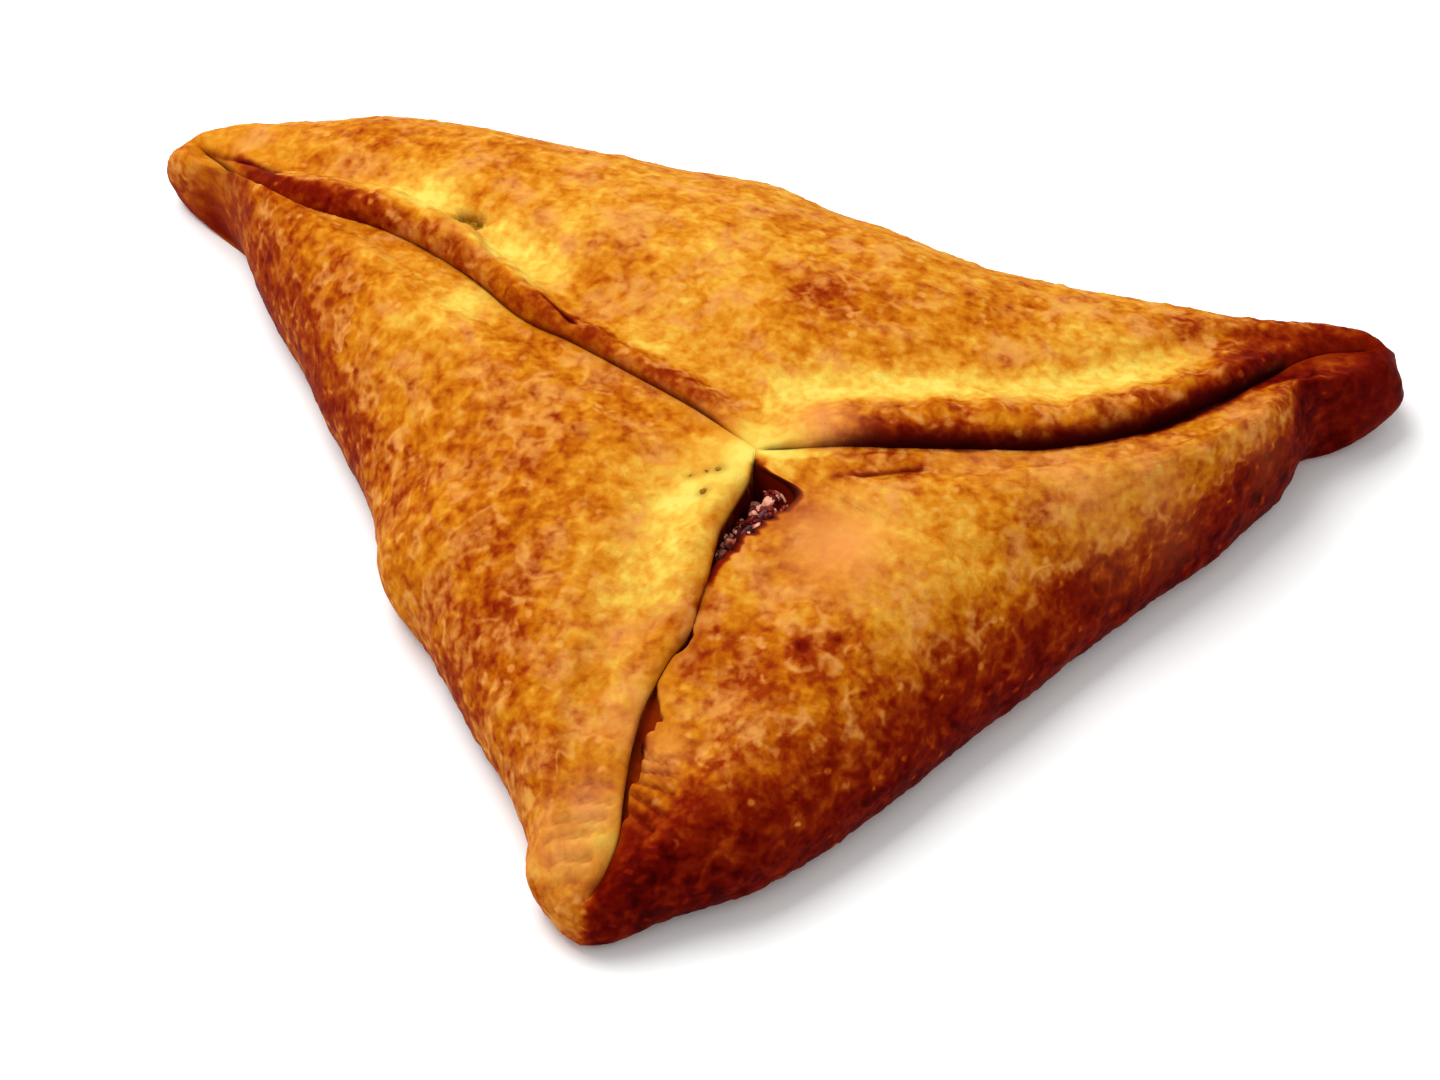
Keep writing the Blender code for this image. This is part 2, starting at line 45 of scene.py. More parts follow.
# The dough's form, in millimetres and shares, as the CAD has it.
# x runs along the longest side, y towards it, z up from the table.
form = {
    "middle": (3.0, 2.8),
    "corners": {
        "left": ((-64.9, 40.8), 5.0),
        "right": ((54.1, 40.5), 5.9),
        "front": ((-0.9, -41.8), 4.4),
    },
    "flaps": [
        {"corners": ("left", "right"), "onTop": (True, True),
         "bow": [(0.05, 1.7), (0.15, 4.1), (0.25, 4.2), (0.36, 3.6), (0.42, 3.7), (0.48, 4.1), (0.56, 1.0),
                 (0.61, -0.5), (0.645, -1.8), (0.68, -2.7), (0.71, -3.0), (0.76, -3.2), (0.84, -2.9),
                 (0.90, -3.1), (0.94, -2.1), (0.98, -0.6)],
         "swell": [(0.0, 0.0), (0.15, 1.2), (0.35, 2.4), (0.55, 2.4), (0.75, 1.2), (1.0, 0.0)]},
        {"corners": ("right", "front"), "onTop": (False, False),
         "bow": [(0.025, -1.1), (0.045, -2.2), (0.065, -2.8), (0.085, -2.4), (0.10, -1.6), (0.12, -0.6),
                 (0.14, 0.0), (0.17, 0.3), (0.20, 0.7), (0.235, 1.4), (0.30, 1.7), (0.375, 2.1), (0.43, 2.3),
                 (0.49, 3.0), (0.56, 3.6), (0.63, 4.2), (0.70, 4.9), (0.78, 5.2), (0.88, 4.4), (0.96, 1.6)],
         "swell": [(0.0, 0.0), (0.2, 1.2), (0.5, 2.0), (0.8, 1.2), (1.0, 0.0)]},
        {"corners": ("front", "left"), "onTop": (True, False),
         "bow": [(0.03, 0.7), (0.07, -0.9), (0.15, -1.7), (0.27, -1.0), (0.35, -1.05), (0.385, -0.5),
                 (0.425, -0.4), (0.455, -1.4), (0.50, -2.4), (0.65, -3.1), (0.73, -3.5), (0.80, -3.0),
                 (0.87, -3.5), (0.92, -4.0), (0.96, -3.4), (0.985, -1.8)],
         "swell": [(0.0, 0.0), (0.2, 1.0), (0.5, 2.0), (0.8, 1.2), (1.0, 0.0)]},
    ],
    "seamBend": {
        "left": [(0.0, 0.0), (0.06, -1.2), (0.115, -2.5), (0.19, -3.5), (0.255, -2.7), (0.315, -1.1),
                 (0.37, -0.3), (0.5, -0.4), (0.625, -1.8), (0.7, -1.2), (0.8, -0.6), (0.9, 0.1),
                 (1.0, 0.0)],
        "right": [(0.0, -0.6), (0.06, -0.8), (0.11, -0.1), (0.18, 1.8), (0.23, 3.1), (0.29, 4.4),
                  (0.34, 5.6), (0.42, 7.0), (0.51, 7.5), (0.59, 7.3), (0.66, 6.2), (0.73, 4.9), (0.8, 3.6),
                  (0.87, 2.0), (0.94, 0.9), (1.0, 0.0)],
        "front": [(0.0, -0.8), (0.04, -1.2), (0.105, -1.35), (0.168, -0.65), (0.263, 0.3), (0.36, 0.75),
                  (0.42, 0.45), (0.48, 0.05), (0.55, -0.8), (0.605, -0.65), (0.68, -0.35), (0.77, 0.2),
                  (0.87, -0.2), (0.93, -0.5), (1.0, 0.0)],
    },
    "seamHeight": {
        "left": [(0.0, 6.5), (0.12, 9.5), (0.3, 13.5), (0.55, 17.0), (0.8, 19.0), (1.0, 19.6)],
        "right": [(0.0, 8.2), (0.12, 10.2), (0.3, 13.0), (0.55, 16.3), (0.8, 18.6), (1.0, 19.6)],
        "front": [(0.0, 5.8), (0.12, 8.8), (0.3, 12.2), (0.55, 15.6), (0.8, 18.2), (1.0, 19.6)],
    },
    "lipHeight": {
        "left": [(0.0, 0.0), (0.06, 0.2), (0.11, 1.0), (0.2, 2.2), (0.45, 2.8), (0.6, 2.6), (0.7, 1.7),
                 (0.9, 1.2), (1.0, 0.0)],
        "right": [(0.0, 0.0), (0.12, 0.0), (0.18, 0.8), (0.28, 2.2), (0.5, 2.9), (0.78, 2.6), (0.9, 1.6),
                  (0.96, 0.7), (1.0, 0.0)],
        "front": [(0.0, 0.0), (0.15, 0.6), (0.3, 0.7), (0.45, 0.7), (0.6, 1.0), (0.85, 1.6), (1.0, 0.0)],
    },
    "lipWidth": {
        "left": [(0.0, 1.5), (0.12, 2.0), (0.25, 3.0), (0.6, 3.0), (0.7, 1.8), (1.0, 2.2)],
        "right": [(0.0, 2.0), (0.2, 2.9), (0.4, 3.3), (0.8, 3.2), (1.0, 2.2)],
        "front": [(0.0, 2.2), (1.0, 2.2)],
    },
    "valleyWidth": {
        "left": [(0.0, 6.0), (0.6, 6.5), (1.0, 6.5)],
        "right": [(0.0, 6.5), (0.3, 8.8), (0.7, 8.8), (1.0, 6.5)],
        "front": [(0.0, 6.0), (1.0, 6.5)],
    },
    "creaseDepth": {
        "left": [(0.0, 0.3), (0.3, 0.8), (0.8, 0.6), (1.0, 0.0)],
        "right": [(0.0, 0.0), (0.12, 0.0), (0.17, 0.5), (0.24, 1.7), (0.6, 2.4), (0.9, 1.2), (1.0, 0.0)],
        "front": [(0.0, 0.3), (0.2, 0.5), (0.3, 1.0), (0.45, 0.6), (0.55, 0.9), (0.7, 0.7), (0.9, 1.0),
                  (1.0, 0.0)],
    },
    "sideHeight": 5.5,
    "cornerHeight": 3.6,
    "overhang": {"left": 0.0, "right": 2.2, "front": 0.0},  # of a corner over its own foot
    "overhangReach": 10.0,
    "footWidth": 4.2,
    "creaseHalfWidth": 0.15,
    "splitWidth": [(0.0, 0.0), (0.13, 0.0), (0.17, 1.0), (0.21, 0.5), (0.26, 1.8), (0.31, 1.0), (0.36, 2.1),
                   (0.40, 1.2), (0.43, 0.0), (0.49, 0.0), (0.515, 0.4), (0.545, 0.5), (0.57, 0.0),
                   (0.68, 0.0), (0.73, 0.8), (0.77, 1.8), (0.81, 2.4), (0.85, 3.5), (0.90, 4.6), (0.93, 4.9),
                   (0.948, 4.3), (0.966, 0.0), (1.0, 0.0)],
    "splitDepth": [(0.0, 0.5), (0.45, 0.6), (0.5, 1.3), (0.65, 1.6), (0.75, 3.0), (0.85, 4.0), (1.0, 4.0)],
    "domeShares": (0.035, 0.11, 0.22, 0.38, 0.56, 0.75),
    "domePowers": (1.75, 1.9), "swellPower": 0.8,  # of the rounding from the side up to the top
    "valleyDip": 0.15, "dipReach": 20.0,  # beside a lip, on flaps at least this deep
    "seamStart": 0.35,  # share of the way from a corner's middle to its tip
    "cornerReach": 0.18,  # share of a side over which it rises from the corner
    "footRows": [(1.0, 0.0), (0.30, 0.22), (0.0, 1.0)],  # shares of the foot's width and the side's height
    "valleyLimit": 0.55, "lipLimit": 0.2,  # widest, as shares of the way from side to crease
    "lipRows": [(1.55, 0.45, 0.0), (0.75, 1.0, 0.0), (0.12, 0.80, 0.05)],  # shares of width and height, drop
    "lipEdge": (0.30, 0.1),  # share of the height and drop where a lip meets the crease
    "tuckShare": 0.25,  # how far a lip hangs over the crease, as a share of its height
    "hiddenShare": 0.25, "hiddenFrom": 0.3,  # how far the flap below dips under a lip
    "tearShare": 0.3, "tearWaves": (0.012, 2.0), "tearReach": (0.0, 0.84, 0.07),  # of the split's edge
    "rippleWaves": (0.035, 1.0), "rippleWidth": 0.10, "rippleHeight": 0.14,
    "cadSteps": 50,  # sections along each flap of the CAD
}


tiny = 1e-9  # keeps two points on a curve apart


def mix(a, b, t, start=0.0, end=1.0):
    # the value between a and b that belongs to t, where a is at start and b at end
    return a + (b - a) * (t - start) / (end - start)


def unit(vector):
    return vector / np.linalg.norm(vector)


def smooth(t):
    # eases a run from 0 to 1
    return t * t * (3 - 2 * t)


def window(values, low, high, soft):
    # 1 between low and high, falling smoothly to 0 over soft on each side
    rise = np.clip((values - low + soft) / soft, 0, 1)
    fall = np.clip((high + soft - values) / soft, 0, 1)
    return smooth(rise * fall)


def bell(distance, radius):
    return np.exp(-(distance / radius) ** 2)


def near(places, middle, radius):
    # 1 at the middle, fading around it
    return bell(np.linalg.norm(places - np.array(middle), axis=1), radius)


def curvePoint(a, b, c, d, k0, k1, k2, k3, t):
    # a point between b and c on a centripetal Catmull-Rom curve
    before = mix(mix(a, b, t, k0, k1), mix(b, c, t, k1, k2), t, k0, k2)
    after = mix(mix(b, c, t, k1, k2), mix(c, d, t, k2, k3), t, k1, k3)
    return mix(before, after, t, k1, k2)


def smoothCurve(points, steps=16):
    points = np.asarray(points, float)
    padded = np.vstack([2 * points[0] - points[1], points, 2 * points[-1] - points[-2]])
    dense = []
    for first in range(len(points) - 1):
        four = padded[first:first + 4]
        gaps = np.sqrt(np.linalg.norm(np.diff(four, axis=0), axis=1) + tiny)
        knots = np.concatenate([[0.0], np.cumsum(gaps)])
        for t in np.linspace(knots[1], knots[2], steps, endpoint=False):
            dense.append(curvePoint(*four, *knots, t))
    return np.array([*dense, points[-1]])


def atShares(curve, shares):
    steps = np.linalg.norm(np.diff(curve, axis=0), axis=1)
    length = np.concatenate([[0.0], np.cumsum(steps)])
    return np.stack([np.interp(shares * length[-1], length, curve[:, k]) for k in range(2)], axis=1)


def eased(shares, table):
    # a smooth curve through (share, value) pairs that doesn't overshoot
    x, y = np.array(table, float).T
    width = np.diff(x)
    slope = np.diff(y) / width
    tangent = np.zeros(len(x))
    for k in range(1, len(x) - 1):
        if slope[k - 1] * slope[k] > 0:
            tangent[k] = 2 * slope[k - 1] * slope[k] / (slope[k - 1] + slope[k])
    tangent[0], tangent[-1] = slope[0], slope[-1]
    shares = np.clip(shares, x[0], x[-1])
    k = np.clip(np.searchsorted(x, shares, side="right") - 1, 0, len(width) - 1)
    t = (shares - x[k]) / width[k]
    return ((2 * t**3 - 3 * t**2 + 1) * y[k] + (t**3 - 2 * t**2 + t) * width[k] * tangent[k]
            + (3 * t**2 - 2 * t**3) * y[k + 1] + (t**3 - t**2) * width[k] * tangent[k + 1])


def wander(distance, step, shift, rates=(1.0, 1.73, 2.91)):
    # an uneven line: a few waves of about this length, between -1 and 1
    return sum(np.sin(distance / step * rate + shift * rate) for rate in rates) / len(rates)


def cornerTip(name):
    centre, radius = form["corners"][name]
    return np.array(centre) + unit(np.array(centre) - np.array(form["middle"])) * radius


def sideCurve(flap):
    (start, startRadius), (end, endRadius) = (form["corners"][name] for name in flap["corners"])
    start, end = np.array(start), np.array(end)
    along = unit(end - start)
    lean = (startRadius - endRadius) / np.linalg.norm(end - start)
    outward = np.array([-along[1], along[0]]) * math.sqrt(1 - lean**2) + along * lean
    first, last = start + outward * startRadius, end + outward * endRadius
    tips = [cornerTip(name) for name in flap["corners"]]
    firstTurn = unit(unit(tips[0] - start) + outward) * startRadius + start
    lastTurn = unit(unit(tips[1] - end) + outward) * endRadius + end
    bowed = [mix(first, last, share) + outward * bow for share, bow in flap["bow"]]
    return smoothCurve([tips[0], firstTurn, *bowed, lastTurn, tips[1]])


def seamCurve(name):
    start = mix(np.array(form["corners"][name][0]), cornerTip(name), form["seamStart"])
    run = np.array(form["middle"]) - start
    sideways = unit(np.array([-run[1], run[0]]))
    return smoothCurve([start + run * share + sideways * bend for share, bend in form["seamBend"][name]])


def seamShares(share):
    # which half of a flap each share lies in, and how far up that half's seam
    firstHalf = share <= 0.5
    return firstHalf, np.where(firstHalf, 2 * share, 2 - 2 * share)


def flapSections(flap, steps, withSeams, uneven=0.0):
    # One flap as rows of points from the base up to the crease. Beside x, y and z a point
    # keeps how far in from the side it is and how far it has to go to the crease.
    share = np.linspace(0.0, 1.0, steps + 1)
    firstHalf, alongSeam = seamShares(share)
    first, last = flap["corners"]

    def ofSeam(name):
        table = form[name]
        return np.where(firstHalf, eased(alongSeam, table[first]), eased(alongSeam, table[last]))

    edge = atShares(sideCurve(flap), share)
    crease = np.where(firstHalf[:, None], atShares(seamCurve(first), alongSeam),
                      atShares(seamCurve(last), alongSeam))
    onTop = np.where(firstHalf, *flap["onTop"])
    seamHeight, creaseDepth = ofSeam("seamHeight"), ofSeam("creaseDepth")
    reach = np.linalg.norm(crease - edge, axis=1)
    inward = (crease - edge) / reach[:, None]
    if withSeams and last == "front":
        gape = eased(alongSeam, form["splitWidth"])
        torn = wander(alongSeam, *form["tearWaves"]) * window(alongSeam, *form["tearReach"])
        reach = reach - np.where(firstHalf, 0.0, gape * (1 + form["tearShare"] * torn))
    body = smooth(np.clip(np.minimum(share, 1 - share) / form["cornerReach"], 0.0, 1.0))
    sideHeight = mix(form["cornerHeight"], form["sideHeight"], body)
    swell = eased(share, flap["swell"])
    foot = np.minimum(form["footWidth"], reach / 2)
    valley = reach - np.minimum(ofSeam("valleyWidth"), form["valleyLimit"] * reach)
    ripple = wander(alongSeam, *form["rippleWaves"]) * uneven * np.sin(np.pi * alongSeam)
    lipWidth = np.minimum(ofSeam("lipWidth"), form["lipLimit"] * reach) * (1 + form["rippleWidth"] * ripple)
    lip = np.where(onTop, ofSeam("lipHeight"), 0.0) * (1 + form["rippleHeight"] * ripple)
    tuck = np.where(onTop, form["tuckShare"] * lip, 0.0)
    hidden = np.where(onTop, 0.0, form["hiddenShare"] * (creaseDepth - form["hiddenFrom"]))

    rows = [(across * foot, up * sideHeight) for across, up in form["footRows"]]
    outPower, upPower = form["domePowers"]
    for t in form["domeShares"]:
        rise = mix(sideHeight, seamHeight, (1 - (1 - t)**outPower)**(1 / upPower))
        rows.append((valley * t, rise + swell * math.sin(math.pi * t**form["swellPower"])))
    rows.append((valley, seamHeight - form["valleyDip"] * np.minimum(reach / form["dipReach"], 1.0)))
    if withSeams:
        for widths, heights, drop in form["lipRows"]:
            rows.append((reach - widths * lipWidth, seamHeight + heights * lip - drop))
        heights, drop = form["lipEdge"]
        rows.append((reach + tuck - form["creaseHalfWidth"], seamHeight + heights * lip - drop - hidden))
    rows.append((reach, seamHeight - creaseDepth))
    points = [np.column_stack([edge + inward * across[:, None], height, across, reach - across])
              for across, height in rows]
    points = np.stack(points, axis=1)
    for name in flap["corners"]:
        outward = unit(cornerTip(name) - np.array(form["middle"]))
        low = np.clip(1 - points[:, :, 2] / form["cornerHeight"], 0, 1)
        shift = form["overhang"][name] * low * near(edge, cornerTip(name), form["overhangReach"])[:, None]
        points[:, :, :2] -= shift[:, :, None] * outward
    return points


def refined(sections, counts):
    # more points across a flap, on a curve through each row's own points
    padded = np.concatenate([2 * sections[:, :1] - sections[:, 1:2], sections,
                             2 * sections[:, -1:] - sections[:, -2:-1]], axis=1)
    rows = []
    for k, count in enumerate(counts):
        four = [padded[:, k + m] for m in range(4)]
        gaps = [np.sqrt(np.linalg.norm((q - p)[:, :3], axis=1) + tiny) for p, q in zip(four, four[1:])]
        k1, k2, k3 = (total[:, None] for total in np.cumsum(gaps, axis=0))
        for step in range(count):
            rows.append(curvePoint(*four, 0.0, k1, k2, k3, mix(k1, k2, step / count)))
    rows.append(sections[:, -1])
    return np.stack(rows, axis=1)


def gridFaces(start, rows, columns):
    index = start + np.arange(rows * columns).reshape(rows, columns)
    corners = (index[:-1, :-1], index[:-1, 1:], index[1:, 1:], index[1:, :-1])
    return np.stack([corner.ravel() for corner in corners], axis=1)


def flapFaces(rows, columns):
    # the faces of all flaps, whose grids follow one another, and the base that closes them
    starts = [rows * columns * k for k in range(len(form["flaps"]))]
    base = [start + row * columns for start in starts for row in range(rows - 1)]
    return [gridFaces(start, rows, columns) for start in starts], base


def closedMesh(name, points, faces, values, weld=0.003):
    # a mesh in metres in the frame's place, with one named attribute for each list of values
    points = (points - np.array([*planOrigin, 0.0])) * mm
    mesh = bpy.data.meshes.new(name)
    mesh.from_pydata(points.tolist(), [], faces)
    for key, numbers in values.items():
        mesh.attributes.new(key, "FLOAT", "POINT").data.foreach_set("value", numbers.astype(np.float32))
    work = bmesh.new()
    work.from_mesh(mesh)
    bmesh.ops.remove_doubles(work, verts=work.verts, dist=weld * mm)
    bmesh.ops.dissolve_degenerate(work, dist=weld * mm, edges=work.edges)
    bmesh.ops.recalc_face_normals(work, faces=work.faces)
    work.to_mesh(mesh)
    work.free()
    mesh.shade_smooth()
    return mesh


def addPiece(name, mesh):
    piece = bpy.data.objects.new(name, mesh)
    bpy.context.scene.collection.objects.link(piece)
    return piece


# The plan's box, whose middle is the frame's origin, from the same sections as the CAD's
outline = [flapSections(flap, form["cadSteps"], True)[:, :, :2].reshape(-1, 2) for flap in form["flaps"]]
plan = np.concatenate(outline)
planOrigin = (plan.min(axis=0) + plan.max(axis=0)) / 2


# Materials

def linear(hexColor):
    # sRGB hex to linear light, which the nodes want
    parts = [int(hexColor[k:k + 2], 16) / 255 for k in (1, 3, 5)]
    return [*(p / 12.92 if p <= 0.04045 else ((p + 0.055) / 1.055)**2.4 for p in parts), 1.0]


def addNode(tree, kind, *values, named=None, **settings):
    # A node with its settings, and its inputs in order or by name: each a value, a socket, or
    # a node whose first output is meant. A kind in capitals is what a Math node works out.
    if kind.isupper():
        kind, settings = "Math", {"operation": kind}
    node = tree.nodes.new(kind if "Node" in kind else "ShaderNode" + kind)
    for name, value in settings.items():
        setattr(node, name, value)
    for name, value in [*enumerate(values), *(named or {}).items()]:
        if isinstance(value, bpy.types.Node):
            value = value.outputs[0]
        if isinstance(value, bpy.types.NodeSocket):
            tree.links.new(value, node.inputs[name])
        else:
            node.inputs[name].default_value = value
    return node


smoothly = {"interpolation_type": "SMOOTHSTEP"}  # of a Map Range node


def newMaterial(name, finish):
    # a material whose shader has the values of finish
    material = bpy.data.materials.new(name)
    material.use_nodes = True
    shader = material.node_tree.nodes["Principled BSDF"]
    for socket, value in finish.items():
        shader.inputs[socket].default_value = value
    return material, material.node_tree, shader


def setRamp(node, stops):
    # colours from (position, hex) pairs
    ramp = node.color_ramp
    while len(ramp.elements) > 1:
        ramp.elements.remove(ramp.elements[-1])
    for k, (position, hexColor) in enumerate(stops):
        element = ramp.elements[0] if k == 0 else ramp.elements.new(position)
        element.position = position
        element.color = linear(hexColor)


crustLook = {
    "browning": [(0.00, "#D8C45A"), (0.15, "#D5AE42"), (0.30, "#CD8F2C"), (0.42, "#C07515"),
                 (0.54, "#AB5807"), (0.66, "#8E3305"), (0.78, "#701502"), (0.90, "#540501"),
                 (1.00, "#340201")],
    # the crease shade colour paints shade into folds, grooves and the split
    "overlays": {"peach": "#D99A5E", "steamed": "#D28549", "ventStain": "#6E4206", "creaseShade": "#2A0303"},
    "clouds": {  # size in mm, detail and distortion
        "patches": (8.0, 2.0, 0.4), "blotches": (3.2, 2.0, 0.3), "specks": (1.4, 1.5, 0.3),
        "grain": (0.6, 2.0, 0.0), "worms": (4.2, 1.2, 0.4), "wormPlaces": (2.6, 1.0, 0.0),
        "blisterPlaces": (2.7, 1.0, 0.0), "peach": (4.2, 3.0, 0.3), "bumps": (0.8, 3.0, 0.6),
        "pores": (0.28, 2.0, 0.0),
    },
    "cloudRoughness": 0.55,
    # how far each cloud swings the tone
    "mottle": {"patches": 0.26, "blotches": 0.36, "specks": 0.56, "grain": 0.20},
    "mottleOnRough": (0.75, 0.25),  # the share that only rough skin shows, and the rest
    "mottleWhenDark": (0.60, 0.84, 1.0, 0.72),  # browning from and to, share from and to
    "toasted": (0.42, 0.56),  # browning from which the skin wrinkles
    # raised wrinkles and pinhead blisters, both paler than the skin round them; the blisters' extra paleness
    # on the darkest skin is painted glint
    "wormEdge": (0.0, 0.085, 1.0, 0.0), "wormPlaces": (0.46, 0.58), "wormPaleness": 0.08, "wormPeach": 0.38,
    "blisterSpacing": 1.8, "blisterSmoothness": 0.15, "blisterEdge": (0.14, 0.34, 1.0, 0.0),
    "blisterPlaces": (0.53, 0.62), "blisterPalenessAndGlint": (0.58, 0.78, 0.09, 0.20), "blisterPeach": 0.3,
    "peachPlaces": (0.50, 0.68, 0.0, 0.30), "peachFrom": (0.22, 0.34), "peachUntil": (0.46, 0.66, 1.0, 0.0),
    "satin": (0.35, 0.85, 0.58, 0.42),  # tone from and to, roughness from and to
    "bumpShares": {"bumps": 0.7, "pores": 0.3}, "bumpOnRough": (0.7, 0.3),
    "bump": {"Strength": 0.55, "Distance": 0.25 * mm},
    "finish": {"IOR": 1.45, "Specular IOR Level": 0.006},
}


def bakedCrust():
    # Baked bread dough, oiled before baking: the skin blisters into a fine net of pale
    # wrinkles between toasted patches, satin where pale and glossier where dark.
    look = crustLook
    material, tree, shader = newMaterial("baked dough crust", look["finish"])
    place = addNode(tree, "TexCoord").outputs["Object"]
    cloud = {}
    for name, (size, detail, distortion) in look["clouds"].items():
        cloud[name] = addNode(tree, "TexNoise", named={
            "Vector": place, "Scale": 1 / (size * mm), "Detail": detail,
            "Roughness": look["cloudRoughness"], "Distortion": distortion})
    reading = {name: addNode(tree, "Attribute", attribute_name=name).outputs["Fac"]
               for name in ("browning", "relief", "steamed", "ventStain", "creaseShade")}
    browning, rough = reading["browning"], reading["relief"]

    mottle = -sum(look["mottle"].values()) / 2
    for name, swing in look["mottle"].items():
        mottle = addNode(tree, "MULTIPLY_ADD", cloud[name], swing, mottle)
    onRough = addNode(tree, "MULTIPLY_ADD", rough, *look["mottleOnRough"])
    whenDark = addNode(tree, "MapRange", browning, *look["mottleWhenDark"], **smoothly)
    for share in (onRough, whenDark):
        mottle = addNode(tree, "MULTIPLY", mottle, share)

    worms = addNode(tree, "SUBTRACT", cloud["worms"], 0.5)
    worms = addNode(tree, "ABSOLUTE", worms)
    worms = addNode(tree, "MapRange", worms, *look["wormEdge"], **smoothly)
    wormPlaces = addNode(tree, "MapRange", cloud["wormPlaces"], *look["wormPlaces"], **smoothly)
    toasted = addNode(tree, "MapRange", browning, *look["toasted"], **smoothly)
    for share in (wormPlaces, toasted, rough):
        worms = addNode(tree, "MULTIPLY", worms, share)
    cells = addNode(tree, "TexVoronoi", place, feature="SMOOTH_F1", named={
        "Scale": 1 / (look["blisterSpacing"] * mm), "Smoothness": look["blisterSmoothness"]})
    blisters = addNode(tree, "MapRange", cells, *look["blisterEdge"], **smoothly)
    blisterPlaces = addNode(tree, "MapRange", cloud["blisterPlaces"], *look["blisterPlaces"], **smoothly)
    for share in (blisterPlaces, rough):
        blisters = addNode(tree, "MULTIPLY", blisters, share)
    # real pale blisters, paler still on dark skin as painted glints
    palenessAndGlint = addNode(tree, "MapRange", browning, *look["blisterPalenessAndGlint"], **smoothly)
    palenessAndGlint = addNode(tree, "MULTIPLY", palenessAndGlint, -1.0)

    total = addNode(tree, "ADD", browning, mottle)
    for relief, change in ((worms, -look["wormPaleness"]), (blisters, palenessAndGlint)):
        total = addNode(tree, "MULTIPLY_ADD", relief, change, total)
    tone = addNode(tree, "ValToRGB", total)
    setRamp(tone, look["browning"])

    peach = addNode(tree, "MapRange", cloud["peach"], *look["peachPlaces"], **smoothly)
    for relief, strength in ((blisters, look["blisterPeach"]), (worms, look["wormPeach"])):
        flush = addNode(tree, "MULTIPLY", relief, strength)
        peach = addNode(tree, "MAXIMUM", peach, flush)
    for limits in ("peachFrom", "peachUntil"):
        share = addNode(tree, "MapRange", total, *look[limits])
        peach = addNode(tree, "MULTIPLY", peach, share)
    color = tone.outputs["Color"]
    for name, overlay in look["overlays"].items():
        share = reading.get(name, peach.outputs[0])
        color = addNode(tree, "Mix", data_type="RGBA", named={
            0: share, 6: color, 7: linear(overlay)}).outputs[2]
    tree.links.new(color, shader.inputs["Base Color"])

    satin = addNode(tree, "MapRange", total, *look["satin"])
    tree.links.new(satin.outputs[0], shader.inputs["Roughness"])
    height = 0.0
    for name, share in look["bumpShares"].items():
        height = addNode(tree, "MULTIPLY_ADD", cloud[name], share, height)
    onRough = addNode(tree, "MULTIPLY_ADD", rough, *look["bumpOnRough"])
    height = addNode(tree, "MULTIPLY", height, onRough)
    bump = addNode(tree, "Bump", named={**look["bump"], "Height": height})
    tree.links.new(bump.outputs[0], shader.inputs["Normal"])
    return material


# Crust

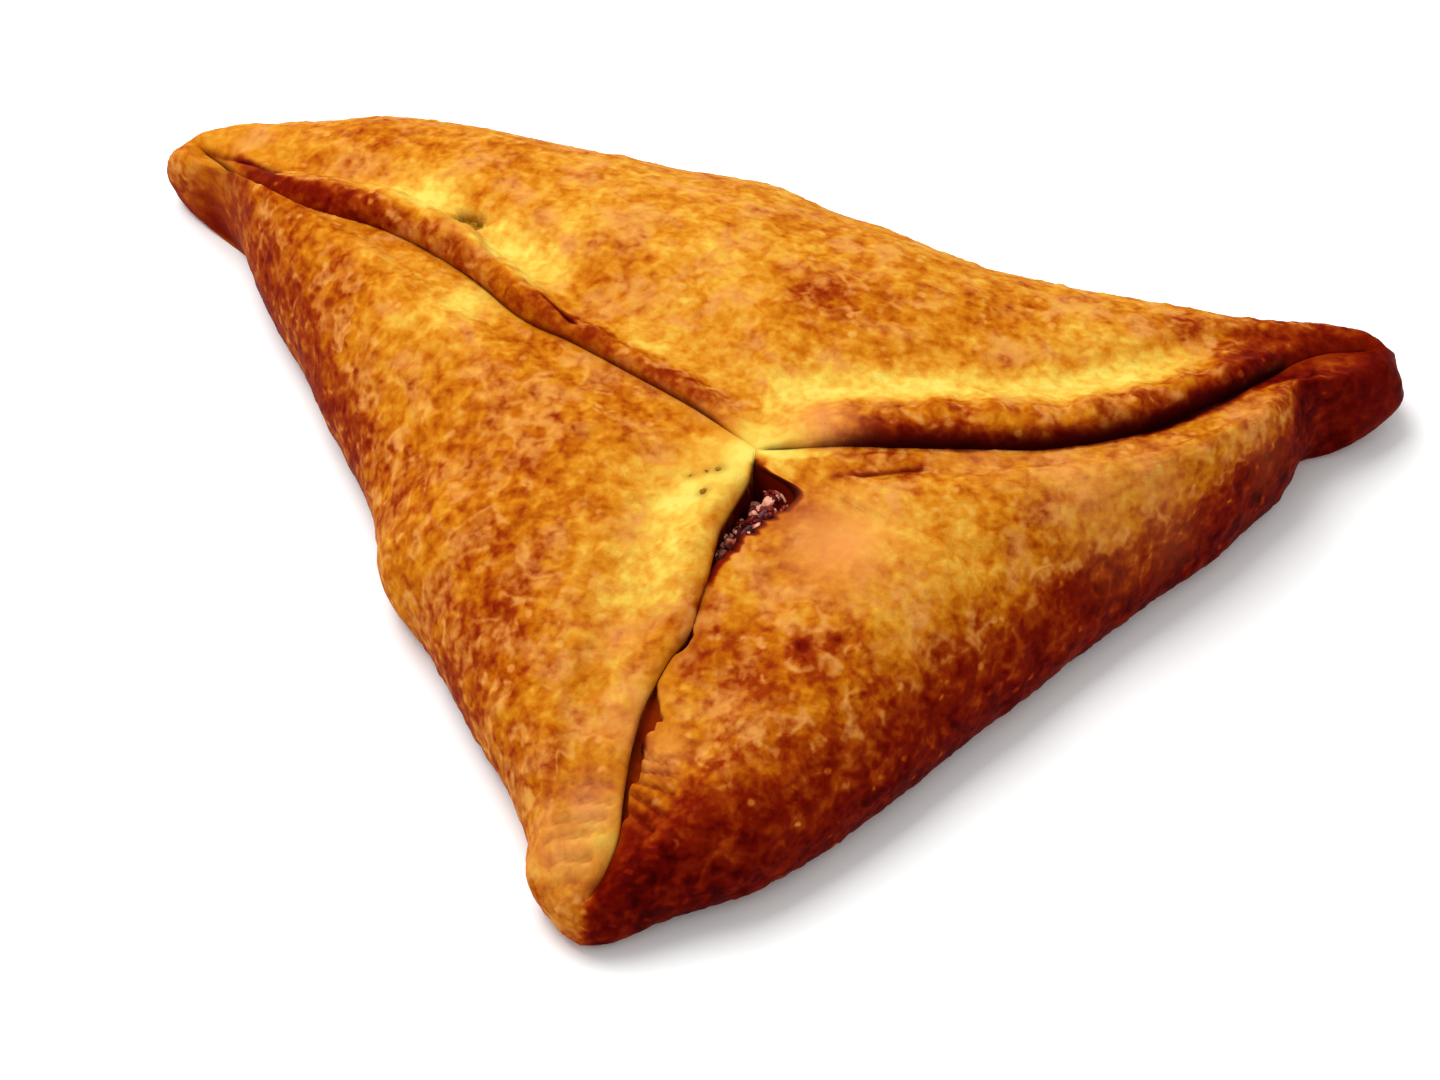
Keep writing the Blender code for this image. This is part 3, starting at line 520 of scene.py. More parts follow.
crust = {
    "steps": 250,  # sections along each flap
    "across": (5, 6, 5, 6, 8, 12, 14, 15, 18, 8, 7, 6, 6, 5),  # points between the rows of a section
    "relief": {  # of the skin, in mm
        "Lump Height": 0.9, "Lump Size": 14.0, "Blister Height": 0.22, "Blister Size": 2.6,
        "Wrinkle Height": 0.10, "Wrinkle Size": 2.2,
    },
    "reliefClouds": {"Lump": (1.0, 0.0), "Blister": (1.0, 0.3), "Wrinkle": (1.5, 0.5)},  # detail, distortion
    "blisterEdge": (0.46, 0.74), "wrinkleEdge": (0.16, 0.0),
    "reliefFrom": (3.0, 1.5),  # mm from a fold and over the table where the relief is full
    "seed": 4.0,
    "flapTone": (0.40, 0.485, 0.515),  # back, right and left flap
    "bottomTone": 0.60, "bottomEdge": 0.8, "darkestTone": 0.89,
    "cornerTone": {"left": 0.50, "right": 0.82, "front": 0.60}, "cornerShare": 0.012,  # of a side
    # each flap's band along its side: its widths along the side, how sharply it ends, the
    # stretch it lies on with its soft ends, and change of tone
    "sideBands": [
        ([(0.0, 3.5), (1.0, 3.5)], 2.0, (0.0, 1.0, 0.1), -0.05),
        ([(0.08, 3.4), (0.15, 1.4), (0.32, 1.4), (0.42, 2.2), (0.5, 3.3), (0.65, 4.6), (0.75, 6.4),
          (0.85, 8.4), (0.95, 8.4)], 2.4, (0.0, 1.0, 0.1), 0.33),
        ([(0.0, 3.4), (1.0, 3.4)], 2.0, (0.55, 0.90, 0.10), 0.18),
    ],
    # painted shade low on the sides, where each side curves in towards its foot
    "footShadeBands": [(4.0, 3.0, 0.0), (7.5, 4.5, 0.30), (4.0, 3.0, 0.14)],  # top, soft edge and change of tone
    # bands along the seams: flap, seam, measured from, low, high and soft edge in mm, the same
    # along the seam, and change of tone
    "seamBands": [
        (0, "right", "crease", (6.8, 8.6, 2.8), (0.40, 0.97, 0.14), -0.26),
        (0, "left", "fold", (-1.0, 4.2, 2.0), (0.14, 0.92, 0.08), 0.24),
        (0, "left", "fold", (-1.0, 4.4, 2.0), (0.16, 0.34, 0.08), 0.14),
        (0, "right", "fold", (-1.0, 7.4, 2.6), (0.24, 0.84, 0.08), 0.15),
        (0, "right", "fold", (-1.0, 3.4, 2.8), (0.24, 0.83, 0.09), 0.26),
        (1, "right", "fold", (-1.0, 3.7, 1.4), (0.20, 0.88, 0.08), 0.26),
        (1, "front", "fold", (-1.0, 1.1, 0.6), (0.68, 0.97, 0.03), 0.45),
        (1, "right", "crease", (0.6, 2.6, 0.8), (0.82, 0.99, 0.08), -0.20),
        (2, "front", "fold", (-1.0, 1.0, 0.9), (0.62, 0.93, 0.05), 0.24),
    ],
    # toasted and pale places of all flaps and of each: middle, radius, change of tone
    "spots": {
        None: [((3.0, 2.8), 4.5, -0.32), ((50.1, 37.1), 2.0, 0.10), ((59.0, 41.0), 12.0, 0.34),
               ((-68.0, 40.0), 8.0, 0.04)],
        0: [((-47.3, 40.0), 5.0, 0.10), ((-38.6, 38.5), 4.0, 0.08), ((-30.0, 37.8), 5.0, 0.10),
            ((-18.2, 24.2), 5.0, 0.11), ((-34.3, 48.6), 1.5, 0.20), ((3.2, 25.3), 3.2, 0.20),
            ((7.5, 24.6), 6.0, 0.07), ((7.0, 24.6), 2.6, 0.10), ((13.6, 26.1), 5.0, 0.09),
            ((22.2, 30.7), 5.0, 0.08), ((38.2, 33.5), 6.0, 0.02), ((43.7, 35.7), 6.0, 0.18),
            ((-38.9, 30.8), 4.0, -0.40), ((31.0, 29.0), 4.5, -0.10), ((-45.5, 32.2), 3.0, -0.16),
            ((-29.9, 25.8), 3.6, -0.30), ((-24.3, 22.6), 3.4, -0.26), ((-10.0, 14.0), 3.0, -0.14),
            ((-24.7, 31.3), 7.0, -0.05), ((-9.0, 27.0), 6.0, -0.06), ((-47.0, 30.0), 5.0, 0.06),
            ((58.0, 43.0), 7.0, 0.16), ((51.5, 37.0), 4.5, 0.14), ((50.0, 38.5), 4.0, 0.06),
            ((39.9, 33.3), 4.0, 0.07)],
        1: [((16.7, -3.9), 5.5, -0.15), ((34.1, 7.4), 4.0, -0.13), ((27.7, -6.7), 3.0, -0.08),
            ((43.3, 18.9), 3.0, 0.01), ((39.2, 12.8), 4.0, -0.02), ((24.0, -2.0), 5.0, -0.08),
            ((20.8, -12.1), 5.0, -0.08), ((8.5, -27.5), 5.0, -0.06), ((2.9, -14.6), 1.4, 0.14),
            ((4.0, -20.2), 1.8, 0.06), ((31.9, 1.9), 3.0, 0.04), ((7.4, -13.7), 3.0, -0.10),
            ((5.3, -19.6), 3.6, 0.07), ((10.0, -23.4), 5.0, 0.10), ((15.4, -18.3), 3.0, 0.16),
            ((13.0, -18.3), 0.9, 0.30), ((15.9, -16.7), 0.8, 0.25), ((8.4, -37.6), 7.0, 0.05),
            ((4.0, -42.9), 3.0, 0.14), ((37.7, 1.7), 3.0, 0.10), ((8.8, -3.4), 1.8, 0.20),
            ((9.4, -34.4), 4.0, -0.06), ((17.5, 4.6), 1.6, 0.16), ((13.0, 2.4), 1.5, 0.14),
            ((50.5, 33.0), 3.5, 0.10), ((59.0, 38.5), 5.0, -0.08), ((9.7, -20.0), 4.0, 0.09),
            ((18.2, -22.2), 4.0, -0.08), ((16.0, -29.7), 4.0, -0.05)],
        2: [((-42.3, 17.7), 2.5, 0.16), ((-33.8, 14.2), 6.0, -0.18), ((-29.7, 17.2), 4.0, -0.24),
            ((-41.0, 21.5), 4.0, -0.10), ((-18.8, -17.9), 8.0, 0.09), ((-19.5, -23.7), 8.0, 0.08),
            ((-3.4, -16.0), 4.0, -0.28), ((-0.5, -11.7), 3.5, -0.26), ((-1.6, -4.8), 3.6, -0.46),
            ((1.6, -1.6), 2.0, -0.22), ((2.0, 1.8), 2.0, -0.24), ((-2.2, 1.4), 2.4, -0.12),
            ((-7.2, -3.2), 4.5, -0.14), ((-7.4, -22.2), 5.0, -0.10), ((-2.4, -25.8), 4.0, -0.12),
            ((-12.0, -12.1), 6.0, -0.06), ((-5.2, -10.9), 4.0, -0.12), ((-0.7, -39.6), 3.0, -0.22),
            ((-2.5, -37.3), 4.0, -0.06), ((-3.9, -42.7), 5.0, -0.06), ((2.2, -28.0), 2.0, -0.06),
            ((2.0, -15.0), 1.6, 0.10), ((-66.0, 38.0), 6.5, -0.14), ((-22.3, -13.2), 4.5, -0.06),
            ((-31.2, -4.2), 4.0, 0.05), ((-4.0, -12.2), 3.0, 0.05), ((-6.6, -19.2), 4.0, 0.06),
            ((-5.9, -34.6), 3.0, 0.03)],
    },
    "paleFrom": (4.5, 3.0),  # height where pale places on the sides begin, and their soft edge
    # places where the skin stayed smooth: middle and radius
    "smooth": [((13.5, -6.0), 5.5), ((0.0, 0.0), 4.0), ((-62.5, 38.0), 6.0), ((57.0, 39.0), 4.5)],
    "smoothShare": 0.8,  # of the relief that such a place loses
    # places of each flap that steam kept soft: middle, radius, strength
    "steamed": {
        0: [((8.3, 7.4), 3.2, 0.55)],
        1: [((13.4, -6.2), 5.0, 0.62), ((10.2, -4.8), 2.2, 0.5), ((3.0, -30.4), 2.2, 0.30),
            ((47.0, 25.0), 2.2, 0.30), ((34.1, 8.6), 3.8, 0.38), ((39.2, 13.2), 3.2, 0.34),
            ((24.0, 8.0), 3.0, 0.25)],
        2: [((-3.6, -41.0), 3.6, 0.55), ((-2.4, -36.8), 2.6, 0.60), ((-1.4, -28.6), 2.6, 0.40),
            ((-4.2, -20.5), 2.4, 0.35)],
    },
    "leafStains": [((0.25, -0.6), 0.8), ((-0.35, -3.95), 0.7), ((-0.9, -0.9), 0.5), ((-2.3, -1.6), 0.5)],
    "leafStain": 0.34, "ventStain": 1.6,  # how strongly a stain shows by a leaf and by the vent
    "vent": ((-34.5, 29.6), (-32.9, 29.1), 1.0, 1.6),  # ends, half width and depth of the burst
    "topEdge": 2.0,  # mm over the side in which marks reach their full depth
    "lineTone": 0.40,  # how much darker baked a line is
    # lines pressed, folded or torn in the dough: ends, half width, depth, darkness (painted shade in the
    # groove, and a darker baked line)
    "marks": [
        ((-22.2, 17.0), (-18.7, 14.6), 0.25, 0.5, 0.9), ((0.4, -29.4), (0.7, -30.2), 0.40, 0.4, 1.0),
        ((10.6, 1.2), (14.7, 2.9), 0.45, 0.12, 0.20), ((13.7, 2.4), (18.6, 5.2), 0.45, 0.25, 0.50),
        ((15.4, 2.2), (17.8, 3.8), 0.35, 0.1, 0.20), ((-65.8, 41.0), (-61.0, 38.2), 0.35, 0.30, 0.45),
        ((-61.0, 38.2), (-56.0, 35.2), 0.45, 0.40, 0.60), ((-5.4, -38.9), (-0.9, -37.6), 0.30, 0.40, 0.16),
        ((-3.6, -36.6), (-0.7, -36.1), 0.26, 0.35, 0.16), ((-5.8, -40.6), (-2.0, -39.3), 0.34, 0.45, 0.18),
        ((-2.6, -38.8), (-0.6, -38.8), 0.24, 0.30, 0.14), ((-4.6, -42.4), (-1.2, -41.2), 0.30, 0.40, 0.16),
        ((-4.0, -44.0), (-1.6, -43.3), 0.30, 0.35, 0.16), ((-4.6, -35.0), (-1.0, -34.6), 0.30, 0.30, 0.12),
        ((0.9, -31.0), (3.4, -31.6), 0.30, 0.45, 0.22), ((0.6, -32.2), (4.0, -32.8), 0.30, 0.50, 0.26),
        ((0.6, -33.3), (5.0, -34.5), 0.30, 0.50, 0.28), ((0.9, -34.5), (4.7, -36.6), 0.30, 0.50, 0.28),
        ((1.0, -35.9), (4.0, -38.1), 0.30, 0.45, 0.28),
    ],
    # painted shade in the fold lines, over dough baked darker there, by seam and whether the flap lies on
    # top:
    # dark heights from the fold's bottom along the seam, their soft edge, and the strength
    "foldShades": {
        ("left", True): ([(0.0, 0.3), (0.1, 0.8), (0.5, 0.9), (0.9, 0.5), (0.97, 0.0)], 1.0, 0.62),
        ("left", False): ([(0.0, 0.0), (0.1, 0.3), (0.5, 0.6), (0.9, 0.3), (0.97, 0.0)], 0.7, 0.50),
        ("right", True): ([(0.0, 0.0), (0.12, 0.0), (0.17, 0.8), (0.24, 2.2), (0.5, 3.2), (0.75, 2.7),
                           (0.85, 1.5), (0.92, 0.35), (0.985, 0.15), (1.0, 0.0)], 2.6, 1.0),
        ("right", False): ([(0.0, 0.0), (0.12, 0.0), (0.17, 0.4), (0.24, 2.6), (0.36, 3.2), (0.5, 3.1),
                            (0.75, 2.2), (0.9, 0.9), (0.985, 0.2), (1.0, 0.0)], 0.9, 1.0),
        ("front", True): ([(0.0, 0.0), (0.2, 0.25), (0.4, 0.3), (0.5, 0.2), (0.7, 0.5), (0.8, 0.9),
                           (0.95, 0.6), (0.98, 0.0)], 0.8, 0.75),
        ("front", False): ([(0.0, 0.0), (0.2, 0.2), (0.4, 0.25), (0.5, 0.2), (0.7, 0.4), (0.8, 0.7),
                            (0.96, 0.8), (0.985, 0.0)], 0.6, 0.80),
    },
    "shadeEdge": (0.5, 0.2),  # dark height below which a shade's edge sharpens, and its least share
    "shadeFade": 0.4,  # dark height below which a shade fades
    "split": {
        "across": 24, "steepest": 1.8,  # points across, and the depth's limit against the width
        "profile": [(0.0, 0.0), (0.05, 0.5), (0.2, 1.0), (0.45, 0.85), (0.75, 0.5), (0.93, 0.2), (1.0, 0.0)],
        "torn": (0.64, 0.08),  # where it begins to be torn open, and its soft edge
        # from the left flap's edge to the right one's, where it is torn; its shades are painted shade,
        # deepest under the left flap's edge
        "closedTone": 0.74, "tones": (0.86, 0.78), "shades": (0.8, 0.0), "shadeLimits": (0.2, 0.55),
    },
}


def segmentDistance(points, start, end):
    start, end = np.array(start), np.array(end)
    run = end - start
    t = np.clip(((points - start) @ run) / (run @ run), 0, 1)
    return np.linalg.norm(points - start - t[:, None] * run, axis=1)


def overFoot(height):
    # 0 low on the sides, where no pale place reaches, and 1 above
    start, soft = crust["paleFrom"]
    return np.clip((height - start) / soft, 0, 1)


def browned(number, points, fromSide, toCrease, toFold, share):
    # how dark each point of a flap is baked, before the small patches
    corners = form["flaps"][number]["corners"]
    firstHalf, along = seamShares(share)
    plan, height = points[:, :2], points[:, 2]
    widths, sharpness, stretch, change = crust["sideBands"][number]
    band = np.exp(-(fromSide / np.interp(share, *np.array(widths).T))**sharpness)
    tone = crust["flapTone"][number] + change * band * window(share, *stretch)
    # painted shade low on the side, where it curves in towards the foot
    top, soft, change = crust["footShadeBands"][number]
    tone += change * np.clip((top - height) / soft, 0, 1)
    for flap, seam, line, band, stretch, change in crust["seamBands"]:
        if flap == number:
            distance = toFold if line == "fold" else toCrease
            half = firstHalf if seam == corners[0] else ~firstHalf
            tone += change * window(distance, *band) * window(along, *stretch) * half
    for middle, radius, change in crust["spots"][None] + crust["spots"][number]:
        tone += change * near(plan, middle, radius) * (overFoot(height) if change < 0 else 1.0)
    for corner, fromCorner in zip(corners, (share, 1 - share)):
        tone = mix(tone, crust["cornerTone"][corner], bell(fromCorner, crust["cornerShare"]))
    under = np.clip(1 - height / crust["bottomEdge"], 0, 1)
    return mix(np.minimum(tone, crust["darkestTone"]), crust["bottomTone"], under)


def foldShading(flap, toFold, share):
    # painted shade along the folds, over the darker baked dough there
    shade = np.zeros(len(share))
    firstHalf, along = seamShares(share)
    full, least = crust["shadeEdge"]
    for corner, onTop, half in zip(flap["corners"], flap["onTop"], (firstHalf, ~firstHalf)):
        heights, soft, strength = crust["foldShades"][corner, onTop]
        dark = eased(along, heights)
        edge = soft * np.clip(dark / full, least, 1.0)
        fall = np.clip((dark + edge - toFold) / edge, 0, 1) * np.clip(dark / crust["shadeFade"], 0, 1)
        shade = np.maximum(shade, strength * smooth(fall) * half)
    return shade


def crustPoints():
    points, edges = [], []
    values = {name: [] for name in ("browning", "creaseShade", "relief", "ventStain", "steamed")}
    fromFold, fromTable = crust["reliefFrom"]
    ventStart, ventEnd, ventHalf, ventDepth = crust["vent"]
    for number, flap in enumerate(form["flaps"]):
        sections = refined(flapSections(flap, crust["steps"], True, uneven=1.0), crust["across"])
        rows, columns = sections.shape[:2]
        share = np.repeat(np.linspace(0, 1, rows), columns)
        steps = np.linalg.norm(np.diff(sections[:, :, :3], axis=1), axis=2)
        toFold = np.zeros((rows, columns))
        toFold[:, :-1] = np.cumsum(steps[:, ::-1], axis=1)[:, ::-1]
        toFold = toFold.ravel()
        flat = sections.reshape(rows * columns, -1)
        plan, height, place = flat[:, :2], flat[:, 2], flat[:, :3].copy()
        tone = browned(number, flat, np.maximum(flat[:, 3], 0), np.maximum(flat[:, 4], 0), toFold, share)
        shade = foldShading(flap, toFold, share)
        relief = np.clip(toFold / fromFold, 0, 1) * np.clip(height / fromTable, 0, 1)
        for middle, radius in crust["smooth"]:
            relief *= 1 - crust["smoothShare"] * near(plan, middle, radius)
        steamed = np.zeros(len(flat))
        for middle, radius, strength in crust["steamed"][number]:
            steamed = np.maximum(steamed, strength * near(plan, middle, radius) * overFoot(height))
        top = np.clip((height - form["sideHeight"]) / crust["topEdge"], 0, 1)
        stain = bell(segmentDistance(plan, ventStart, ventEnd), ventHalf)**2 * top
        place[:, 2] -= ventDepth * stain
        for middle, radius in crust["leafStains"]:
            stain = np.maximum(stain, crust["leafStain"] * near(plan, middle, radius))
        for markStart, markEnd, halfWidth, depth, darkness in crust["marks"]:
            line = bell(segmentDistance(plan, markStart, markEnd), halfWidth) * top
            place[:, 2] -= depth * line
            # the line's darkness paints shade into its groove
            shade = np.maximum(shade, darkness * line)
            tone = tone + crust["lineTone"] * darkness * line
        edges.append(place.reshape(rows, columns, 3)[:, -1])
        points.append(place)
        stain = np.clip(crust["ventStain"] * stain, 0, 1)
        for found, numbers in zip(values.values(), (tone, np.clip(shade, 0, 1), relief, stain, steamed)):
            found.append(numbers)
    faces, base = flapFaces(rows, columns)

    # the split's inside, from the left flap's crease to the right flap's: deep under the left
    # flap's edge and rising to the right
    split = crust["split"]
    half = crust["steps"] // 2
    upper, lower = edges[2][:half + 1], edges[1][::-1][:half + 1]
    across = lower - upper
    along = np.linspace(0, 1, half + 1)[:, None]
    steepest = np.linalg.norm(across, axis=1)[:, None] * split["steepest"]
    depth = np.minimum(steepest, eased(along, form["splitDepth"]))
    steps = np.linspace(0, 1, split["across"])[None]
    walls = upper[:, None] + across[:, None] * steps[:, :, None]
    walls[:, :, 2] -= depth * eased(steps, split["profile"])
    faces.append(gridFaces(sum(map(len, points)), *walls.shape[:2]))
    points.append(walls.reshape(-1, 3))
    tornFrom, soft = split["torn"]
    torn = np.clip((along - tornFrom) / soft, 0, 1)
    inside = {"browning": mix(split["closedTone"], mix(*split["tones"], steps), torn),
              "creaseShade": torn * np.clip(mix(*split["shades"], steps), *split["shadeLimits"])}
    for name, found in values.items():
        found.append(inside.get(name, np.zeros(walls.shape[:2])).ravel())
    allFaces = np.concatenate(faces).tolist() + [base]
    return np.concatenate(points), allFaces, {name: np.concatenate(found) for name, found in values.items()}


def newTree(name, sockets):
    tree = bpy.data.node_groups.new(name, "GeometryNodeTree")
    for socketName, kind in [("Geometry", "Geometry"), *sockets, ("Material", "Material")]:
        tree.interface.new_socket(name=socketName, in_out="INPUT", socket_type="NodeSocket" + kind)
    tree.interface.new_socket(name="Geometry", in_out="OUTPUT", socket_type="NodeSocketGeometry")
    return tree, tree.nodes.new("NodeGroupInput").outputs


def ended(tree, given, geometry):
    # makes the instances real, gives them the material and hands the geometry on
    real = addNode(tree, "GeometryNodeRealizeInstances", geometry)
    painted = addNode(tree, "GeometryNodeSetMaterial", real, named={"Material": given["Material"]})
    addNode(tree, "NodeGroupOutput", painted)
    return tree


def applied(piece, tree, values):
    # runs a node tree on a piece and keeps the result as its plain mesh
    modifier = piece.modifiers.new(tree.name, "NODES")
    modifier.node_group = tree
    for item in tree.interface.items_tree:
        if item.in_out == "INPUT" and item.name in values:
            modifier[item.identifier] = values[item.name]
    bpy.context.view_layer.update()
    evaluated = piece.evaluated_get(bpy.context.evaluated_depsgraph_get())
    mesh = bpy.data.meshes.new_from_object(evaluated)
    piece.modifiers.remove(modifier)
    piece.data = mesh
    mesh.name = piece.name
    mesh.shade_smooth()


def reliefTree():
    # pushes a surface out into broad lumps, blisters and fine ridged wrinkles
    tree, given = newTree("crust relief", [
        ("Lump Height", "Float"), ("Lump Size", "Float"), ("Blister Height", "Float"),
        ("Blister Size", "Float"), ("Wrinkle Height", "Float"), ("Wrinkle Size", "Float"),
        ("Seed", "Float")])
    shapes = {}
    for name, (detail, distortion) in crust["reliefClouds"].items():
        scale = addNode(tree, "DIVIDE", 1.0, given[name + " Size"])
        shapes[name] = addNode(tree, "TexNoise", noise_dimensions="4D", named={
            "W": given["Seed"], "Scale": scale, "Detail": detail, "Distortion": distortion})
    ridges = addNode(tree, "MULTIPLY_ADD", shapes["Wrinkle"], 2.0, -1.0)
    ridges = addNode(tree, "ABSOLUTE", ridges)
    shapes["Lump"] = addNode(tree, "SUBTRACT", shapes["Lump"], 0.5)
    shapes["Blister"] = addNode(tree, "MapRange", shapes["Blister"], *crust["blisterEdge"], **smoothly)
    shapes["Wrinkle"] = addNode(tree, "MapRange", ridges, *crust["wrinkleEdge"], **smoothly)
    total = 0.0
    for name, shape in shapes.items():
        total = addNode(tree, "MULTIPLY_ADD", shape, given[name + " Height"], total)
    relief = addNode(tree, "GeometryNodeInputNamedAttribute", "relief", data_type="FLOAT")
    total = addNode(tree, "MULTIPLY", total, relief)
    offset = addNode(tree, "VectorMath", addNode(tree, "GeometryNodeInputNormal"),
                     operation="SCALE", named={"Scale": total})
    moved = addNode(tree, "GeometryNodeSetPosition", given["Geometry"], named={"Offset": offset})
    return ended(tree, given, moved)


def makeCrust():
    piece = addPiece("baked_crust", closedMesh("baked_crust", *crustPoints()))
    sizes = {name: size * mm for name, size in crust["relief"].items()}
    applied(piece, reliefTree(), {**sizes, "Seed": crust["seed"], "Material": bakedCrust()})
    return piece


baked = makeCrust()
print("crust made:", len(baked.data.polygons), "faces")


# Filling

filling = {
    "steps": 48,
    "across": (3, 3, 2, 3, 4, 5, 6, 7, 8, 6),
    "scale": 0.80,
    "rise": 0.62,
    "floorThickness": 3.0,
    "moundHeight": 3.0,
    "moundRadius": 1.9,
    "mounded": (0.78, 0.93, 15),  # shares of the front seam under which it mounds up, and points on them
    "towardsRight": 0.55,  # of the split's width
    "shownFrom": (2.4, 1.0),
    "bitDensity": 2.4,  # bits for each square millimetre in the split
    "bitSize": (0.3, 0.8),  # mm
    "bitBall": (3, 0.9, 1.0, 1.3),  # subdivisions, then scale, detail and depth of its lumps
    "bitShares": (0.75, 0.65),  # depth and height against the length
    "bitTurns": ((0, 0, 0), (6.3, 6.3, 6.3)),
    "bitKinds": (0.2, 1.0),
    "surfaceKind": 0.05,
    "seeds": {"Seed": 7, "Size Seed": 10, "Kind Seed": 16},
}
fillingLook = {
    # from the dark mass to pink onion; the palest tones, which few bits get, also stand for painted glints
    "tones": [(0.20, "#2E0306"), (0.38, "#5A0A0C"), (0.58, "#842A18"), (0.80, "#B8604A"), (1.0, "#E8A488")],
    "blend": {"Scale": 1 / (1.1 * mm), "Detail": 3.0}, "blendShare": 0.5,
    "bump": {"Strength": 0.5, "Distance": 0.2 * mm},
    "finish": {"Roughness": 0.28, "IOR": 1.4, "Specular IOR Level": 0.2},
}


def cookedFilling():
    # Spinach and onion baked under dough: dark, stained red brown and wet, so it glints; its few palest bits
    # are pink onion and partly painted glints
    look = fillingLook
    material, tree, shader = newMaterial("cooked spinach filling", look["finish"])
    place = addNode(tree, "TexCoord").outputs["Object"]
    blend = addNode(tree, "TexNoise", place, named=look["blend"])
    kind = addNode(tree, "Attribute", attribute_name="kind").outputs["Fac"]
    mixed = addNode(tree, "MULTIPLY_ADD", blend, look["blendShare"], kind)
    tone = addNode(tree, "ValToRGB", mixed)
    setRamp(tone, look["tones"])
    tree.links.new(tone.outputs["Color"], shader.inputs["Base Color"])
    bump = addNode(tree, "Bump", named={**look["bump"], "Height": blend})
    tree.links.new(bump.outputs[0], shader.inputs["Normal"])
    return material


def crumpled(tree, subdivisions, scale, detail, depth):
    # a ball pushed in and out into an uneven lump
    ball = addNode(tree, "GeometryNodeMeshIcoSphere", 1.0, subdivisions)
    noise = addNode(tree, "TexNoise", named={"Scale": scale, "Detail": detail})
    centred = addNode(tree, "SUBTRACT", noise, 0.5)
    push = addNode(tree, "VectorMath", addNode(tree, "GeometryNodeInputNormal"), operation="SCALE",
                   named={"Scale": addNode(tree, "MULTIPLY", centred, depth)})
    return addNode(tree, "GeometryNodeSetPosition", ball, named={"Offset": push})


def strewn(tree, points, lump, size, shares, turns, seed):
    # sets a lump at each point, of that point's size and a turn of its own
    sides = [addNode(tree, "MULTIPLY", size, share) for share in shares]
    turn = addNode(tree, "FunctionNodeRandomValue", *turns, data_type="FLOAT_VECTOR", named={"Seed": seed})
    return addNode(tree, "GeometryNodeInstanceOnPoints", points, named={
        "Instance": lump, "Rotation": turn, "Scale": addNode(tree, "CombineXYZ", size, *sides)})


def bitsTree():
    # strews small uneven bits over the faces marked as open
    tree, given = newTree("filling bits", [
        ("Density", "Float"), ("Smallest", "Float"), ("Largest", "Float"), ("Seed", "Int"),
        ("Size Seed", "Int"), ("Kind Seed", "Int")])
    shown = addNode(tree, "GeometryNodeInputNamedAttribute", "open", data_type="FLOAT")
    density = addNode(tree, "MULTIPLY", given["Density"], shown)
    scattered = addNode(tree, "GeometryNodeDistributePointsOnFaces", given["Geometry"],
                        distribute_method="RANDOM", named={"Density": density, "Seed": given["Seed"]})
    size = addNode(tree, "FunctionNodeRandomValue", data_type="FLOAT", named={
        2: given["Smallest"], 3: given["Largest"], "Seed": given["Size Seed"]}).outputs[1]
    placed = strewn(tree, scattered, crumpled(tree, *filling["bitBall"]), size, filling["bitShares"],
                    filling["bitTurns"], given["Seed"])
    lowest, highest = filling["bitKinds"]
    kind = addNode(tree, "FunctionNodeRandomValue", data_type="FLOAT", named={
        2: lowest, 3: highest, "Seed": given["Kind Seed"]}).outputs[1]
    # squared, so few bits come out pale, partly as painted glints
    kind = addNode(tree, "MULTIPLY", kind, kind)
    kept = addNode(tree, "GeometryNodeStoreNamedAttribute", placed, data_type="FLOAT", domain="INSTANCE",
                   named={"Name": "kind", "Value": kind})
    return ended(tree, given, kept)


def fillingSurface():
    flaps = [flapSections(flap, filling["steps"], False) for flap in form["flaps"]]
    flaps = [refined(sections, filling["across"])[:, :, :3] for sections in flaps]
    faces, base = flapFaces(*flaps[0].shape[:2])
    points = np.concatenate(flaps).reshape(-1, 3)
    middle = np.array(form["middle"])
    points[:, :2] = middle + (points[:, :2] - middle) * filling["scale"]
    stretch = np.linspace(*filling["mounded"])
    ridge = atShares(seamCurve("front"), stretch)
    ridge[:, 0] += filling["towardsRight"] * eased(stretch, form["splitWidth"])
    distance = np.linalg.norm(points[:, None, :2] - ridge[None], axis=2).min(axis=1)
    mound = bell(distance, filling["moundRadius"]) * (points[:, 2] > form["sideHeight"])
    points[:, 2] = filling["floorThickness"] + filling["rise"] * points[:, 2]
    points[:, 2] += filling["moundHeight"] * mound
    return points, np.concatenate(faces).tolist() + [base], mound


def makeFilling():
    points, faces, mound = fillingSurface()
    material = cookedFilling()
    gain, start = filling["shownFrom"]
    piece = addPiece("spinach_filling", closedMesh("spinach_filling", points, faces, {
        "kind": np.full(len(points), filling["surfaceKind"]), "open": np.clip(gain * mound - start, 0, 1)}))
    piece.data.materials.append(material)
    strewnBits = addPiece("filling_bits", piece.data.copy())
    small, large = filling["bitSize"]
    applied(strewnBits, bitsTree(), {
        "Density": filling["bitDensity"] / mm**2, "Smallest": small * mm, "Largest": large * mm,
        **filling["seeds"], "Material": material})
    return piece, strewnBits


spinach, bits = makeFilling()
print("filling made:", len(spinach.data.polygons), "faces and", len(bits.data.polygons), "of bits")


# Spinach that shows on the crust: flecks by the middle, and a leaf in the burst

